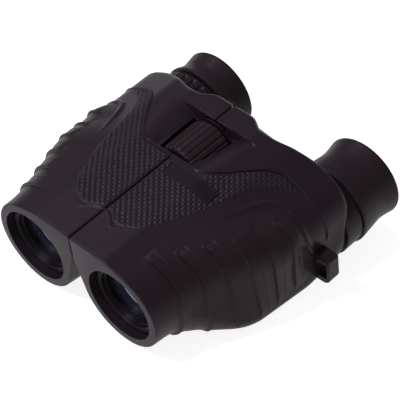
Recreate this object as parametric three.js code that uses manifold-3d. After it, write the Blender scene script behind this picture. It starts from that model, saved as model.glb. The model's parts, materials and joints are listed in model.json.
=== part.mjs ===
// Compact reversed-Porro binoculars, about 10x25, as an assembly of separate pieces.
// Millimetres. Each half is drawn with its optical axes along Y, objectives at y = 0, the fold axis over
// x = 0, and the height counted from the objective axes. The right half is drawn, the left is its mirror.
// At the end the whole is leaned forward to the way it lies on a table, on its hoods and collars.
import * as THREE from 'three';
import { mergeVertices } from 'three/addons/utils/BufferGeometryUtils.js';
import Module from 'manifold-3d';

const wasm = await Module();
wasm.setup();

// Walls and fits
const gap = 0.3;
const panelDepth = 0.9;
const panelBack = 1.2;
const gripDepth = 2;
const gripBack = 1;
const overrun = 4;
const halfSeam = gap / 2;
const wall = panelDepth + gap + panelBack;
const sideWall = gripDepth + gap + gripBack;

// Driving sizes across: the lenses' radii, the walls round them, and the steps from one axis to the next
const clearRadius = 11.7;
const lensLedge = 1.1;
const cellWall = 1.65;
const hoodWall = 3.35;
const hoodInset = 3.4;
const seamRise = 1.9;
const eyeOffset = 15.5;
const eyepieceDrop = 15.3;
const sideReach = 14.8;
const hingeZ = 9.2;
const barrelBore = 10.5;
const barrelWall = 1.5;
const flangeStep = 2.5;
const collarStep = 1.7;

// Driving sizes along: the row of pieces on the fold axis, each with the step that leads to it
const cellRear = 17;
const hingeStep = 1.5;
const frontKnuckle = 4;
const nutStep = 2.7;
const nutLength = 9;
const middleStep = 1.3;
const middleKnuckle = 4.5;
const partitionStep = 0.5;
const partitionDepth = 1.55;
const wheelStep = 2.1;
const wheelLength = 18;
const wheelEndRoom = 0.8;
const wellWall = 1.2;
const hingeClearance = 0.9;
const rearKnuckle = 3.9;
const rearStep = 0.6;
const ridgeReach = 23;
const eyepieceReach = 28.7;
const prismBack = 23;
const tailEnd = 3;
const rearEdgeReach = 17;
const lugBack = 16;
const lugLength = 4.8;
const gripMargin = 0.7;

// Sizes that follow
const cellBore = clearRadius + lensLedge;
const cellRadius = cellBore + cellWall;
const hoodRadius = cellRadius + gap + hoodWall;
const objectiveX = hoodRadius + hoodInset;
const seamTop = hoodRadius + seamRise;
const eyepieceX = objectiveX + eyeOffset;
const sideX = eyepieceX + sideReach;
const barrelRadius = barrelBore + barrelWall;
const flangeRadius = barrelRadius + flangeStep;
const collarRadius = flangeRadius + collarStep;
const beyond = sideX + eyepieceDrop;
const hingeFront = cellRear + hingeStep;
const nutFront = hingeFront + 2 * frontKnuckle + gap + nutStep;
const nutRear = nutFront + nutLength;
const middleFront = nutRear + middleStep;
const partitionFront = middleFront + 2 * middleKnuckle + gap + partitionStep;
const ridgeFront = partitionFront + partitionDepth + halfSeam;
const ridgeRear = ridgeFront + ridgeReach;
const wheelFront = ridgeFront + wheelStep;
const wheelRear = wheelFront + wheelLength;
const wellFront = wheelFront - wheelEndRoom;
const wellRear = wheelRear + wheelEndRoom;
const rearKnuckles = wellRear + wellWall + hingeClearance;
const rearFace = rearKnuckles + 2 * rearKnuckle + gap + rearStep;
const eyecupRear = rearFace + eyepieceReach;
const prismFront = rearFace - prismBack;
const lugFront = rearFace - lugBack;
const lugRear = lugFront + lugLength;

// Plan of the ridge that parts the front housing from the rear one
const ridgeStartX = 11.5;
const ridgeEndX = 36;
const ridgeSteps = 9;

// Segments of round pieces
const roundSegments = 24;
const innerSegments = 18;
const pinSegments = 10;
const fluteSegments = 5;
const bodySegments = 26;
const cavitySegments = 16;

const left = { name: 'left', sign: -1 };
const right = { name: 'right', sign: 1 };

function smooth(share) {
  const t = Math.min(Math.max(share, 0), 1);
  return t * t * (3 - 2 * t);
}

function passed(span, y) {
  return smooth((y - span.start) / (span.end - span.start));
}

function between(start, end, share) {
  return start + (end - start) * share;
}

// Joining and cutting

function solid(geometry) {
  const bare = geometry.index ? geometry.toNonIndexed() : geometry.clone();
  bare.deleteAttribute('normal');
  bare.deleteAttribute('uv');
  const merged = mergeVertices(bare);
  return new wasm.Manifold(new wasm.Mesh({
    numProp: 3,
    vertProperties: new Float32Array(merged.attributes.position.array),
    triVerts: new Uint32Array(merged.index.array),
  }));
}

function geometryOf(manifold) {
  const mesh = manifold.getMesh();
  const geometry = new THREE.BufferGeometry();
  geometry.setAttribute('position', new THREE.BufferAttribute(mesh.vertProperties, 3));
  geometry.setIndex(new THREE.BufferAttribute(mesh.triVerts, 1));
  return geometry;
}

function joined(...parts) {
  return parts.reduce((whole, part) => whole.add(part));
}

function cut(whole, ...parts) {
  return parts.reduce((rest, part) => rest.subtract(part), whole);
}

function sided(manifold, side) {
  return side.sign > 0 ? manifold : manifold.mirror([1, 0, 0]);
}

// Plain forms

function block(x0, x1, y0, y1, z0, z1) {
  const box = new THREE.BoxGeometry(x1 - x0, y1 - y0, z1 - z0);
  box.translate((x0 + x1) / 2, (y0 + y1) / 2, (z0 + z1) / 2);
  return solid(box);
}

function turned(profile, segments = roundSegments) {
  const points = profile.map(([radius, y]) => new THREE.Vector2(radius, y));
  return solid(new THREE.LatheGeometry(points, segments));
}

function rod(radius, y0, y1, segments = roundSegments) {
  return turned([[0, y0], [radius, y0], [radius, y1], [0, y1]], segments);
}

function tube(outer, bore, y0, y1, segments = roundSegments) {
  return turned([[bore, y0], [outer, y0], [outer, y1], [bore, y1], [bore, y0]], segments);
}

function onHinge(manifold) {
  return manifold.translate([0, 0, hingeZ]);
}

function onObjective(manifold) {
  return manifold.translate([objectiveX, 0, 0]);
}

function onEyepiece(manifold) {
  return manifold.translate([eyepieceX, 0, -eyepieceDrop]);
}

function extrusion(points, depth) {
  const shape = new THREE.Shape(points.map(([a, b]) => new THREE.Vector2(a, b)));
  return new THREE.ExtrudeGeometry(shape, { depth, bevelEnabled: false, steps: 1 });
}

function planExtrusion(points, z0, z1) {
  return solid(extrusion(points, z1 - z0).translate(0, 0, z0));
}

function sideExtrusion(points, x0, x1) {
  const plate = extrusion(points, x1 - x0).rotateY(Math.PI / 2).rotateX(Math.PI / 2);
  return solid(plate.translate(x0, 0, 0));
}

function frontExtrusion(points, y0, y1) {
  return solid(extrusion(points, y1 - y0).rotateX(Math.PI / 2).translate(0, y1, 0));
}

// An outline drawn in by a distance, each corner along its own bisector
function drawnIn(points, distance) {
  const shape = points.map(([a, b]) => new THREE.Vector2(a, b));
  const turn = THREE.ShapeUtils.area(shape) > 0 ? 1 : -1;
  return shape.map((point, i) => {
    const before = shape[(i + shape.length - 1) % shape.length];
    const after = shape[(i + 1) % shape.length];
    const into = new THREE.Vector2().subVectors(point, before).normalize();
    const out = new THREE.Vector2().subVectors(after, point).normalize();
    const inward = new THREE.Vector2(-into.y - out.y, into.x + out.x).normalize();
    const spread = Math.max(inward.x * -into.y + inward.y * into.x, 0.5);
    const move = (turn * distance) / spread;
    return [point.x + inward.x * move, point.y + inward.y * move];
  });
}

// The moulded form of a half: at each station along Y, the outline drawn tight round a few round rods.
// Each rod has a place and a radius that flow from the hood to the prism housing.

const pitchSlope = (eyepieceDrop + collarRadius - hoodRadius) / rearFace;
const sideFlare = { start: 6, end: 40 };
const upperFlare = { start: 2, end: 54 };
const cornerFlare = { start: 9, end: 34 };
const upperSinkSpan = { start: 34, end: 60 };
const tail = { start: prismFront, end: rearFace - tailEnd };
const upperRadius = 15.5;
const upperSink = 5;
const cornerRadius = 5;
const innerCornerX = 33;
const topRodRadius = 7;
const topRodX = 16;
const tailSkin = 0.4;
const underClearance = 0.8;
const rimRound = 0.8;
const rearRound = 3.2;

function outlineRods(y, { inset = 0, sideInset = inset, seamInset = inset }) {
  const corner = passed(cornerFlare, y);
  const toEyepiece = passed(tail, y);
  const side = between(objectiveX + hoodRadius, sideX, passed(sideFlare, y));
  const upperSide = between(objectiveX + hoodRadius, sideX, passed(upperFlare, y));
  const upper = between(hoodRadius, upperRadius, passed(upperFlare, y));
  const bottom = -hoodRadius - pitchSlope * y + underClearance * corner;
  const low = between(hoodRadius, cornerRadius, corner);
  const lowX = between(side - low, eyepieceX, toEyepiece);
  const lowZ = between(bottom + low, -eyepieceDrop, toEyepiece);
  const lowRadius = between(low, collarRadius - tailSkin, toEyepiece);
  const innerLowX = between(between(objectiveX, innerCornerX, corner), eyepieceX, toEyepiece);
  const seam = halfSeam + seamInset;
  return [
    { x: objectiveX, z: 0, r: hoodRadius - inset },
    { x: topRodX, z: seamTop - topRodRadius, r: topRodRadius - Math.min(inset, topRodRadius) },
    { x: seam, z: seamTop - inset, r: 0 },
    { x: seam, z: hingeZ, r: 0 },
    { x: upperSide - upper, z: -upperSink * passed(upperSinkSpan, y), r: upper - sideInset },
    { x: lowX, z: lowZ, r: lowRadius - Math.min(sideInset, lowRadius) },
    { x: innerLowX, z: lowZ, r: lowRadius - Math.min(sideInset, lowRadius) },
  ];
}

function outlinePoint(rods, angle, swell) {
  const nx = Math.cos(angle);
  const nz = Math.sin(angle);
  const reach = rods.map((each) => each.x * nx + each.z * nz + each.r);
  const furthest = rods[reach.indexOf(Math.max(...reach))];
  return [furthest.x + (furthest.r + swell) * nx, furthest.z + (furthest.r + swell) * nz];
}

// The rear edge seen from above: a bulge over the hinge, a dip beside it, and far back at the outer top
const rearEdge = {
  bulge: 1.5,
  bulgeEnd: 8,
  dip: 2,
  dipX: 16,
  reach: 4.6,
  reachX: 41,
  start: rearFace - rearEdgeReach,
  fadeTop: 2,
  fadeBottom: -21,
};

function rearShift(x, y, z) {
  const towardDip = smooth((x - rearEdge.bulgeEnd) / (rearEdge.dipX - rearEdge.bulgeEnd));
  const towardReach = smooth((x - rearEdge.dipX) / (rearEdge.reachX - rearEdge.dipX));
  const plan = x < rearEdge.dipX
    ? between(rearEdge.bulge, -rearEdge.dip, towardDip)
    : between(-rearEdge.dip, rearEdge.reach, towardReach);
  const height = smooth((z - rearEdge.fadeBottom) / (rearEdge.fadeTop - rearEdge.fadeBottom));
  return plan * height * passed({ start: rearEdge.start, end: rearFace }, y);
}

// One loft through the stations. Its rear end closes over smaller rings, so that it stays smooth.
const closingShares = [0.66, 0.33];

function bodyLoft({ stations, angles, walls = {}, swell = () => 0, ends = () => 0 }) {
  const rings = stations.map((y) => {
    const { inset = 0, sideInset = inset, seamInset = inset } = walls;
    const end = ends(y);
    const rods = outlineRods(y, {
      inset: inset + end,
      sideInset: sideInset + end,
      seamInset: seamInset + end,
    });
    return angles.map((angle) => [...outlinePoint(rods, angle, swell(y, angle)), y]);
  });
  const lastRing = rings[rings.length - 1];
  const centre = [0, 1].map((axis) => lastRing.reduce((sum, p) => sum + p[axis], 0) / angles.length);
  closingShares.forEach((share) => {
    rings.push(lastRing.map(([x, z, y]) => [between(centre[0], x, share), between(centre[1], z, share), y]));
  });
  const positions = rings.flat().flatMap(([x, z, y]) => [x, y + rearShift(x, y, z), z]);
  const faces = [];
  const count = angles.length;
  for (let ring = 0; ring + 1 < rings.length; ring += 1) {
    for (let i = 0; i < count; i += 1) {
      const next = (i + 1) % count;
      const a = ring * count + i;
      const b = ring * count + next;
      faces.push(a, a + count, b, b, a + count, b + count);
    }
  }
  const last = (rings.length - 1) * count;
  for (let i = 1; i + 1 < count; i += 1) {
    faces.push(0, i, i + 1, last, last + i + 1, last + i);
  }
  const geometry = new THREE.BufferGeometry();
  geometry.setAttribute('position', new THREE.Float32BufferAttribute(positions, 3));
  geometry.setIndex(faces);
  return solid(geometry);
}

function evenAngles(count) {
  return Array.from({ length: count }, (_, i) => (2 * Math.PI * i) / count);
}

const bodyAngles = evenAngles(bodySegments);
const cavityAngles = evenAngles(cavitySegments);
const bodyStationShares = [0.06, 0.15, 0.23, 0.31, 0.42, 0.56, 0.7, 0.8, 0.89];
const cavityStationShares = [0, 0.2, 0.55, 0.78, 1];
const rearStationShares = [0, 0.7];
const cavityFront = 16;
const rearWall = 2;

function outerEnds(y) {
  if (y < rimRound) return rimRound - y;
  const into = Math.min(Math.max((y - rearFace + rearRound) / rearRound, 0), 1);
  return rearRound * (1 - Math.sqrt(1 - into ** 2));
}

function outerForm(swell) {
  const stations = [
    0,
    rimRound,
    ...bodyStationShares.map((share) => share * rearFace),
    ...rearStationShares.map((share) => rearFace - rearRound * (1 - share)),
    rearFace,
  ];
  return bodyLoft({ stations, angles: bodyAngles, ends: outerEnds, swell });
}

function cavityForm(extra) {
  const stations = cavityStationShares.map((share) => between(cavityFront, rearFace - rearWall, share));
  const walls = { inset: wall + extra, sideInset: sideWall + extra };
  return bodyLoft({ stations, angles: cavityAngles, walls });
}

// What lies under a skin of a given depth, right up to the seam
function underSkin(depth) {
  const stations = bodyStationShares.map((share) => share * rearFace);
  const walls = { inset: depth, seamInset: -overrun };
  return bodyLoft({ stations: [0, ...stations, rearFace], angles: bodyAngles, walls });
}

const outer = outerForm();

// The ridge in plan

function ridgeY(x) {
  const share = smooth((x - ridgeStartX) / (ridgeEndX - ridgeStartX));
  return between(ridgeFront, ridgeRear, share);
}

function ridgeLine(shift, fromX, toX) {
  const bend = Array.from({ length: ridgeSteps + 1 }, (_, i) => {
    return between(ridgeStartX, ridgeEndX, i / ridgeSteps);
  }).filter((x) => x > fromX && x < toX);
  return [fromX, ...bend, toX].map((x) => [x, ridgeY(x) + shift]);
}

function beforeRidge() {
  const line = ridgeLine(-halfSeam, -overrun, beyond);
  return planExtrusion([[-overrun, -overrun], [beyond, -overrun], ...line.reverse()], -beyond, beyond);
}

function behindRidge() {
  const line = ridgeLine(halfSeam, -overrun, beyond);
  const rear = rearFace + beyond;
  return planExtrusion([...line, [beyond, rear], [-overrun, rear]], -beyond, beyond);
}

// Top panel outline, in shares of the side and of the ridge's rear
const panelEdgeShares = [
  [0.012, 0.232],
  [0.073, 0.21],
  [0.143, 0.197],
  [0.205, 0.205],
  [0.29, 0.236],
  [0.35, 0.283],
  [0.39, 0.329],
  [0.425, 0.402],
  [0.469, 0.47],
  [0.512, 0.552],
  [0.539, 0.635],
  [0.57, 0.732],
  [0.604, 0.809],
  [0.656, 0.873],
  [0.72, 0.927],
  [0.803, 0.953],
];
const panelMargin = 1.2;
const panelSeamX = 0.6;

function panelOutline() {
  const edge = panelEdgeShares.map(([x, y]) => [x * sideX, y * ridgeRear]);
  const [lastX] = edge[edge.length - 1];
  return [...edge, ...ridgeLine(-panelMargin, panelSeamX, lastX - panelMargin).reverse()];
}

function panelRegion(clearance) {
  return planExtrusion(drawnIn(panelOutline(), clearance), 0, seamTop + overrun);
}

// Name plate on the right panel
const plate = { x0: 2.9, x1: 25, back: 2.7, height: 6.2, proud: 0.5 };
const plateY1 = ridgeFront - plate.back;
const plateY0 = plateY1 - plate.height;

function plateRegion(clearance) {
  return block(
    plate.x0 - clearance,
    plate.x1 + clearance,
    plateY0 - clearance,
    plateY1 + clearance,
    0,
    seamTop + overrun,
  );
}

function topPanel(side) {
  const skin = outer.intersect(panelRegion(gap)).subtract(underSkin(panelDepth));
  return side === right ? skin.subtract(plateRegion(gap)) : skin;
}

function namePlate() {
  const raised = bodyLoft({
    stations: [0, ...bodyStationShares.map((share) => share * rearFace)],
    angles: bodyAngles,
    swell: () => plate.proud,
  });
  return raised.intersect(plateRegion(0)).subtract(underSkin(panelDepth));
}

// Side grip: its upper and rear edge runs from the hood along the shoulder and down to the strap lug.
// The points are shares of the grip's length and of the seam's height.
const grip = { front: 9, rear: lugFront - gripMargin, innerX: 29, topInnerX: 20 };
const gripEdgeShares = [
  [0, 0.895],
  [0.262, 0.903],
  [0.366, 0.865],
  [0.471, 0.82],
  [0.623, 0.75],
  [0.766, 0.67],
  [0.855, 0.6],
  [0.916, 0.545],
  [0.946, 0.47],
  [0.949, 0.35],
  [0.941, 0.16],
  [0.941, -0.05],
  [0.972, -0.35],
  [1, -0.5],
];

function gripRegion(clearance) {
  const edge = gripEdgeShares.map(([y, z]) => [between(grip.front, grip.rear, y), z * seamTop]);
  const outline = [[grip.front, -beyond], ...edge, [grip.rear, -beyond]];
  const under = block(0, grip.innerX + clearance, 0, rearFace, -beyond, 0);
  const region = sideExtrusion(drawnIn(outline, clearance), grip.topInnerX, beyond);
  return region.subtract(under);
}

// Wave ribs of the grip: each rises sharply at its front and runs out to the rear
const rib = {
  count: 6,
  first: 10.7,
  pitch: 9.15,
  rise: 0.7,
  run: 6.2,
  height: 0.8,
};
const ribTopAngle = THREE.MathUtils.degToRad(62);
const ribBottomAngle = THREE.MathUtils.degToRad(-88);
const ribFadeAngle = THREE.MathUtils.degToRad(22);
const gripAngleCount = 11;

function ribHeight(y) {
  const along = y - rib.first - rib.pitch * Math.floor((y - rib.first) / rib.pitch);
  const index = Math.floor((y - rib.first) / rib.pitch);
  if (index < 0 || index >= rib.count || along > rib.run) return 0;
  return rib.height * Math.min(along / rib.rise, (rib.run - along) / (rib.run - rib.rise));
}

function ribSwell(y, angle) {
  const turnedAngle = angle > Math.PI ? angle - 2 * Math.PI : angle;
  const top = smooth((ribTopAngle - turnedAngle) / ribFadeAngle);
  const bottom = smooth((turnedAngle - ribBottomAngle) / ribFadeAngle);
  return ribHeight(y) * top * bottom;
}

function sideGrip() {
  const starts = Array.from({ length: rib.count }, (_, i) => rib.first + i * rib.pitch);
  const stations = [0, ...starts.flatMap((y) => [y, y + rib.rise, y + rib.run]), rearFace];
  const from = ribBottomAngle - ribFadeAngle;
  const sweep = ribTopAngle + ribFadeAngle - from;
  const angles = [
    ...Array.from({ length: gripAngleCount + 1 }, (_, i) => from + (sweep * i) / gripAngleCount),
    Math.PI / 2 + ribFadeAngle,
    Math.PI,
    Math.PI + ribFadeAngle,
  ];
  const ribbed = bodyLoft({ stations, angles, swell: ribSwell });
  return ribbed.intersect(gripRegion(gap)).subtract(underSkin(gripDepth));
}

// Objective group, on the objective axis
const cell = { front: 3.2, rear: cellRear, ringDepth: 2.8, stopInset: 0.2, room: 0.35 };
const doublet = { thickness: 4.7, bulge: 1.1 };
const ringSteps = 2;
const stopRadius = clearRadius - cell.stopInset;
const hoodBore = cellRadius + gap;
const hoodBoreDepth = cell.rear + cell.room;
const doubletFront = cell.front + cell.ringDepth + gap;
const doubletRear = doubletFront + doublet.thickness;

function objectiveCell() {
  return turned([
    [cellBore, cell.front],
    [cellRadius, cell.front],
    [cellRadius, cell.rear],
    [cellBore, cell.rear],
    [cellBore, doubletRear + gap + panelBack],
    [stopRadius, doubletRear + gap + panelBack],
    [stopRadius, doubletRear + gap],
    [cellBore, doubletRear + gap],
    [cellBore, cell.front],
  ], innerSegments);
}

function retainingRing() {
  const outerRadius = cellBore - gap;
  const front = cell.front + gap;
  const steps = Array.from({ length: ringSteps }, (_, i) => {
    const radius = between(clearRadius, outerRadius, (i + 1) / (ringSteps + 1));
    const y = between(cell.front + cell.ringDepth, front, (i + 1) / ringSteps);
    const before = between(cell.front + cell.ringDepth, front, i / ringSteps);
    return i === 0 ? [[radius, y]] : [[radius, before], [radius, y]];
  }).flat();
  const stepEdge = between(cell.front + cell.ringDepth, front, 1 / ringSteps);
  return turned([
    [clearRadius, cell.front + cell.ringDepth],
    [clearRadius, stepEdge],
    ...steps,
    [outerRadius, front],
    [outerRadius, cell.front + cell.ringDepth],
    [clearRadius, cell.front + cell.ringDepth],
  ], innerSegments);
}

// A lens with its front and rear faces bulging by the given heights
function lens(radius, y0, y1, frontBulge, rearBulge, segments = innerSegments) {
  const shares = [0, 0.6, 1];
  const face = (y, bulge) => shares.map((share) => [radius * share, y + bulge * share ** 2]);
  const front = face(y0, frontBulge);
  const rear = face(y1, -rearBulge).reverse();
  return turned([...front, ...rear], segments);
}

// Hinge, spindle and nut, about the fold axis
const hinge = {
  radius: 5.2,
  pin: 2.4,
  sleeve: 3.2,
  rearRadius: 6,
};
const spindleRadius = 2;
const nut = { inset: 0.2, groove: 3.4, rim: 1.2, slot: 2.2 };
const nutRadius = hinge.radius - nut.inset;
const rail = { room: 0.9, thickness: 3, back: 2.8 };
const railRear = ridgeFront - rail.back;
const railInner = nutRadius + rail.room;
const forkOuter = railInner - gap;
const hingeRoomFront = hingeFront - gap;

function knuckleSpan(side, start, length) {
  return side === left ? [start, start + length] : [start + length + gap, start + 2 * length + gap];
}

// Focus wheel and the well it turns in
const wheel = {
  radius: 10.6,
  ribs: 24,
  ribDepth: 0.7,
  chamfer: 0.8,
  room: 1.3,
};
const ribCornerShares = [0.12, 0.5, 0.62, 1];
const ribCrestCorners = 2;
const wellRadius = wheel.radius + wheel.room;

function focusWheel() {
  const count = wheel.ribs;
  const profile = Array.from({ length: count }, (_, i) => i).flatMap((i) => {
    return ribCornerShares.map((share, corner) => {
      const angle = (2 * Math.PI * (i + share)) / count;
      const radius = wheel.radius - wheel.chamfer - (corner < ribCrestCorners ? 0 : wheel.ribDepth);
      return new THREE.Vector2(radius * Math.cos(angle), radius * Math.sin(angle));
    });
  });
  const geometry = new THREE.ExtrudeGeometry(new THREE.Shape(profile), {
    depth: wheelRear - wheelFront - 2 * wheel.chamfer,
    steps: 1,
    bevelThickness: wheel.chamfer,
    bevelSize: wheel.chamfer,
    bevelSegments: 1,
  });
  geometry.rotateX(Math.PI / 2).translate(0, wheelRear - wheel.chamfer, 0);
  const bore = rod(spindleRadius + gap, wheelFront - overrun, wheelRear + overrun, pinSegments);
  return solid(geometry).subtract(bore);
}

function focusNut() {
  const bore = spindleRadius + gap;
  const firstSlot = nutFront + nut.rim;
  const secondSlot = nutRear - nut.rim - nut.slot - gap;
  return turned([
    [bore, nutFront],
    [nutRadius, nutFront],
    [nutRadius, firstSlot],
    [nut.groove, firstSlot],
    [nut.groove, firstSlot + nut.slot],
    [nutRadius, firstSlot + nut.slot],
    [nutRadius, secondSlot],
    [nut.groove, secondSlot],
    [nut.groove, secondSlot + nut.slot],
    [nutRadius, secondSlot + nut.slot],
    [nutRadius, nutRear],
    [bore, nutRear],
    [bore, nutFront],
  ], pinSegments);
}

// Focus arm: a foot on the cell, a bar past the hinge and a fork ring in the nut's groove
const arm = { bar: 3, orbit: 12.7, footDepth: 1.8, footSpan: 9, spokeRoom: 0.9 };
const towardHinge = new THREE.Vector2(-objectiveX, hingeZ).normalize();
const barX = objectiveX + towardHinge.x * arm.orbit;
const barZ = towardHinge.y * arm.orbit;

function forkSpan(side) {
  const first = nutFront + nut.rim + gap;
  const second = nutRear - nut.rim - nut.slot - gap + gap;
  const start = side === left ? first : second;
  return [start, start + nut.slot - 2 * gap];
}

function focusArm(side) {
  const [forkFront, forkRear] = forkSpan(side);
  const footFront = cell.rear + gap;
  const half = arm.bar / 2;
  const bar = block(barX - half, barX + half, footFront, forkRear, barZ - half, barZ + half);
  const halfSpan = arm.footSpan / 2;
  const footRing = tube(cellRadius - gap, stopRadius, footFront, footFront + arm.footDepth, innerSegments);
  const footRegion = block(barX - halfSpan, barX + halfSpan, footFront - overrun, forkRear,
    barZ - arm.footSpan, barZ + arm.footSpan);
  const foot = onObjective(footRing).intersect(footRegion);
  const reach = Math.hypot(barX, barZ - hingeZ);
  const lean = THREE.MathUtils.radToDeg(Math.atan2(hingeZ - barZ, barX));
  const spoke = onHinge(
    block(nut.groove + arm.spokeRoom, reach, forkFront, forkRear, -half, half).rotate([0, lean, 0]),
  );
  const ring = onHinge(tube(forkOuter, nut.groove + gap, forkFront, forkRear, pinSegments));
  return joined(bar, foot, spoke, ring);
}

// Porro prisms on the prism plate, and the spring clips over them
const prism = { beam: 5.3, trim: 1, flat: 2 };
const clip = { thickness: 0.7, width: 4, foot: 1 };
const prismPlate = { thickness: 1.6, room: 0.5, top: 10, bottom: -24.3 };
const plateInnerX = wellRadius + wellWall + prismPlate.room;
const plateRear = prismFront + prismPlate.thickness;
const rearPrismX = (objectiveX + eyepieceX) / 2;
const rearPrismHalf = (eyepieceX - objectiveX) / 2 + prism.beam;
const frontPrismZ = -eyepieceDrop / 2;
const frontPrismHalf = eyepieceDrop / 2 + prism.beam;

function prismOutline(half, offset) {
  const slant = offset * Math.tan(Math.PI / 8);
  const end = half + offset;
  const tip = prism.flat / 2 + slant;
  const height = prism.trim + half - prism.flat / 2 + offset;
  const shoulder = prism.trim + slant;
  return [[-end, 0], [-end, shoulder], [-tip, height], [tip, height], [end, shoulder], [end, 0]];
}

function clipOutline(half) {
  const outside = prismOutline(half, gap + clip.thickness);
  const inside = prismOutline(half, gap).reverse();
  const end = half + gap + clip.thickness;
  return [
    [-end - clip.foot, 0],
    [-end - clip.foot, clip.thickness],
    [-end, clip.thickness],
    ...outside.slice(1, -1),
    [end, clip.thickness],
    [end + clip.foot, clip.thickness],
    [end + clip.foot, 0],
    ...inside,
  ];
}

function onRearPrism(outline, width) {
  const points = outline.map(([a, b]) => [rearPrismX + a, plateRear + gap + b]);
  return planExtrusion(points, -width / 2, width / 2);
}

function onFrontPrism(outline, width) {
  const points = outline.map(([a, b]) => [prismFront - gap - b, frontPrismZ + a]);
  return sideExtrusion(points, eyepieceX - width / 2, eyepieceX + width / 2);
}

// Chassis: hinge knuckles on a rail, a web and a wall round the wheel's well, and the prism plate
const chassis = { webDepth: 2, webBottom: 4, wallBottom: -7, wallTop: 12, wallThickness: 2 };

function chassisPiece(side) {
  const railTop = seamTop - wall - gap;
  const railBottom = hingeZ + gap;
  const [frontStart, frontEnd] = knuckleSpan(side, hingeFront, frontKnuckle);
  const [middleStart, middleEnd] = knuckleSpan(side, middleFront, middleKnuckle);
  const knuckle = (y0, y1, bore) => {
    const eye = onHinge(tube(hinge.radius, bore, y0, y1, pinSegments));
    const cheekTop = railBottom + rail.thickness;
    const cheek = block(bore + gap, railInner + rail.thickness, y0, y1, railBottom, cheekTop);
    return joined(eye, cheek);
  };
  const railBar = block(railInner, railInner + rail.thickness, hingeFront, railRear, railBottom, railTop);
  const wallEnd = plateInnerX + chassis.wallThickness;
  const web = block(railInner, wallEnd, railRear - chassis.webDepth, railRear, chassis.webBottom,
    seamTop - wall - rail.thickness);
  const tunnel = block(plateInnerX, wallEnd, railRear - chassis.webDepth, plateRear,
    chassis.wallBottom, chassis.wallTop);
  const shelf = block(plateInnerX, sideX, prismFront, plateRear, prismPlate.bottom, prismPlate.top)
    .intersect(cavityForm(gap));
  const window = rod(prism.beam + gap, prismFront - overrun, plateRear + overrun, pinSegments);
  const windows = [
    window.translate([objectiveX, 0, 0]),
    window.translate([eyepieceX, 0, 0]),
    window.translate([eyepieceX, 0, -eyepieceDrop]),
  ];
  const whole = joined(
    knuckle(frontStart, frontEnd, hinge.pin + gap),
    knuckle(middleStart, middleEnd, hinge.sleeve + gap),
    railBar,
    web,
    tunnel,
    shelf,
  );
  return cut(whole, ...windows);
}

// Front housing: hood, barrel and top shell, with pockets for the panel, the grip and the lug's foot
const lug = {
  top: -9.5,
  bottom: -23,
  reach: 6.8,
  bar: 1.6,
  slotHeight: 8.6,
  slotWidth: 4.5,
  corner: 4,
  cornerSteps: 3,
  chamfer: 1,
  footDepth: 1.8,
  footBack: 3,
  footMargin: 0.5,
};

const lugOuterX = sideX + lug.reach;

function lugFoot(clearance) {
  return block(
    sideX - lug.footDepth - clearance,
    beyond,
    lugFront - clearance,
    rearFace - lug.footBack,
    lug.bottom - lug.footMargin - clearance,
    lug.top + lug.footMargin + clearance,
  );
}

function hingeRoom(y0, y1, radius) {
  return onHinge(rod(radius + gap, y0, y1, innerSegments));
}

function frontHousing() {
  const partition = block(-overrun, ridgeStartX, partitionFront, rearFace, -beyond, beyond);
  const cavity = cavityForm(0).subtract(partition);
  const bore = onObjective(rod(hoodBore, -overrun, hoodBoreDepth));
  const room = hingeRoom(hingeRoomFront, partitionFront, forkOuter + gap);
  const spindleHole = onHinge(rod(spindleRadius + gap, 0, rearFace, pinSegments));
  const panelPocket = panelRegion(0).subtract(underSkin(panelDepth + gap));
  const gripPocket = gripRegion(0).subtract(underSkin(gripDepth + gap));
  const shell = outer.intersect(beforeRidge());
  const behindBore = hoodBoreDepth + wall;
  const spindleStart = spindleHole.subtract(block(-beyond, beyond, 0, behindBore, -beyond, beyond));
  return cut(shell, cavity, bore, room, spindleStart, panelPocket, gripPocket, lugFoot(gap));
}

// Rear housing: shoulder beside the wheel, band over the prisms and hinge knuckle
const scoop = { radius: 9, x: 8.5, frontBottom: 18, rearBottom: 15.2, back: 1.6 };
const scoopRear = wheelRear + scoop.back;

function scoopForm(skin) {
  const length = scoopRear - ridgeFront + overrun;
  const slope = (scoop.frontBottom - scoop.rearBottom) / (scoopRear - ridgeFront);
  const trough = rod(scoop.radius + skin, -length, skin);
  return trough
    .rotate([THREE.MathUtils.radToDeg(-Math.atan(slope)), 0, 0])
    .translate([scoop.x, scoopRear, scoop.rearBottom + scoop.radius]);
}

// Strap lug: a loop on a foot that the front and the rear housing hold between them
function strapLug() {
  const arc = Array.from({ length: lug.cornerSteps + 1 }, (_, step) => {
    const angle = (Math.PI / 2) * (step / lug.cornerSteps);
    return [
      lugOuterX - lug.corner + lug.corner * Math.cos(angle),
      lug.bottom + lug.corner - lug.corner * Math.sin(angle),
    ];
  });
  const loop = frontExtrusion([
    [sideX - lug.footDepth, lug.top],
    [lugOuterX - lug.chamfer, lug.top],
    [lugOuterX, lug.top - lug.chamfer],
    ...arc,
    [sideX - lug.footDepth, lug.bottom],
  ], lugFront, lugRear);
  const slotOuter = lugOuterX - lug.bar;
  const slotMiddle = (lug.top + lug.bottom) / 2;
  const slot = block(slotOuter - lug.slotWidth, slotOuter, lugFront - overrun, lugRear + overrun,
    slotMiddle - lug.slotHeight / 2, slotMiddle + lug.slotHeight / 2);
  const foot = lugFoot(0).intersect(underSkin(-gap));
  return joined(foot, loop).subtract(slot.subtract(underSkin(-gap)));
}

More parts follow.
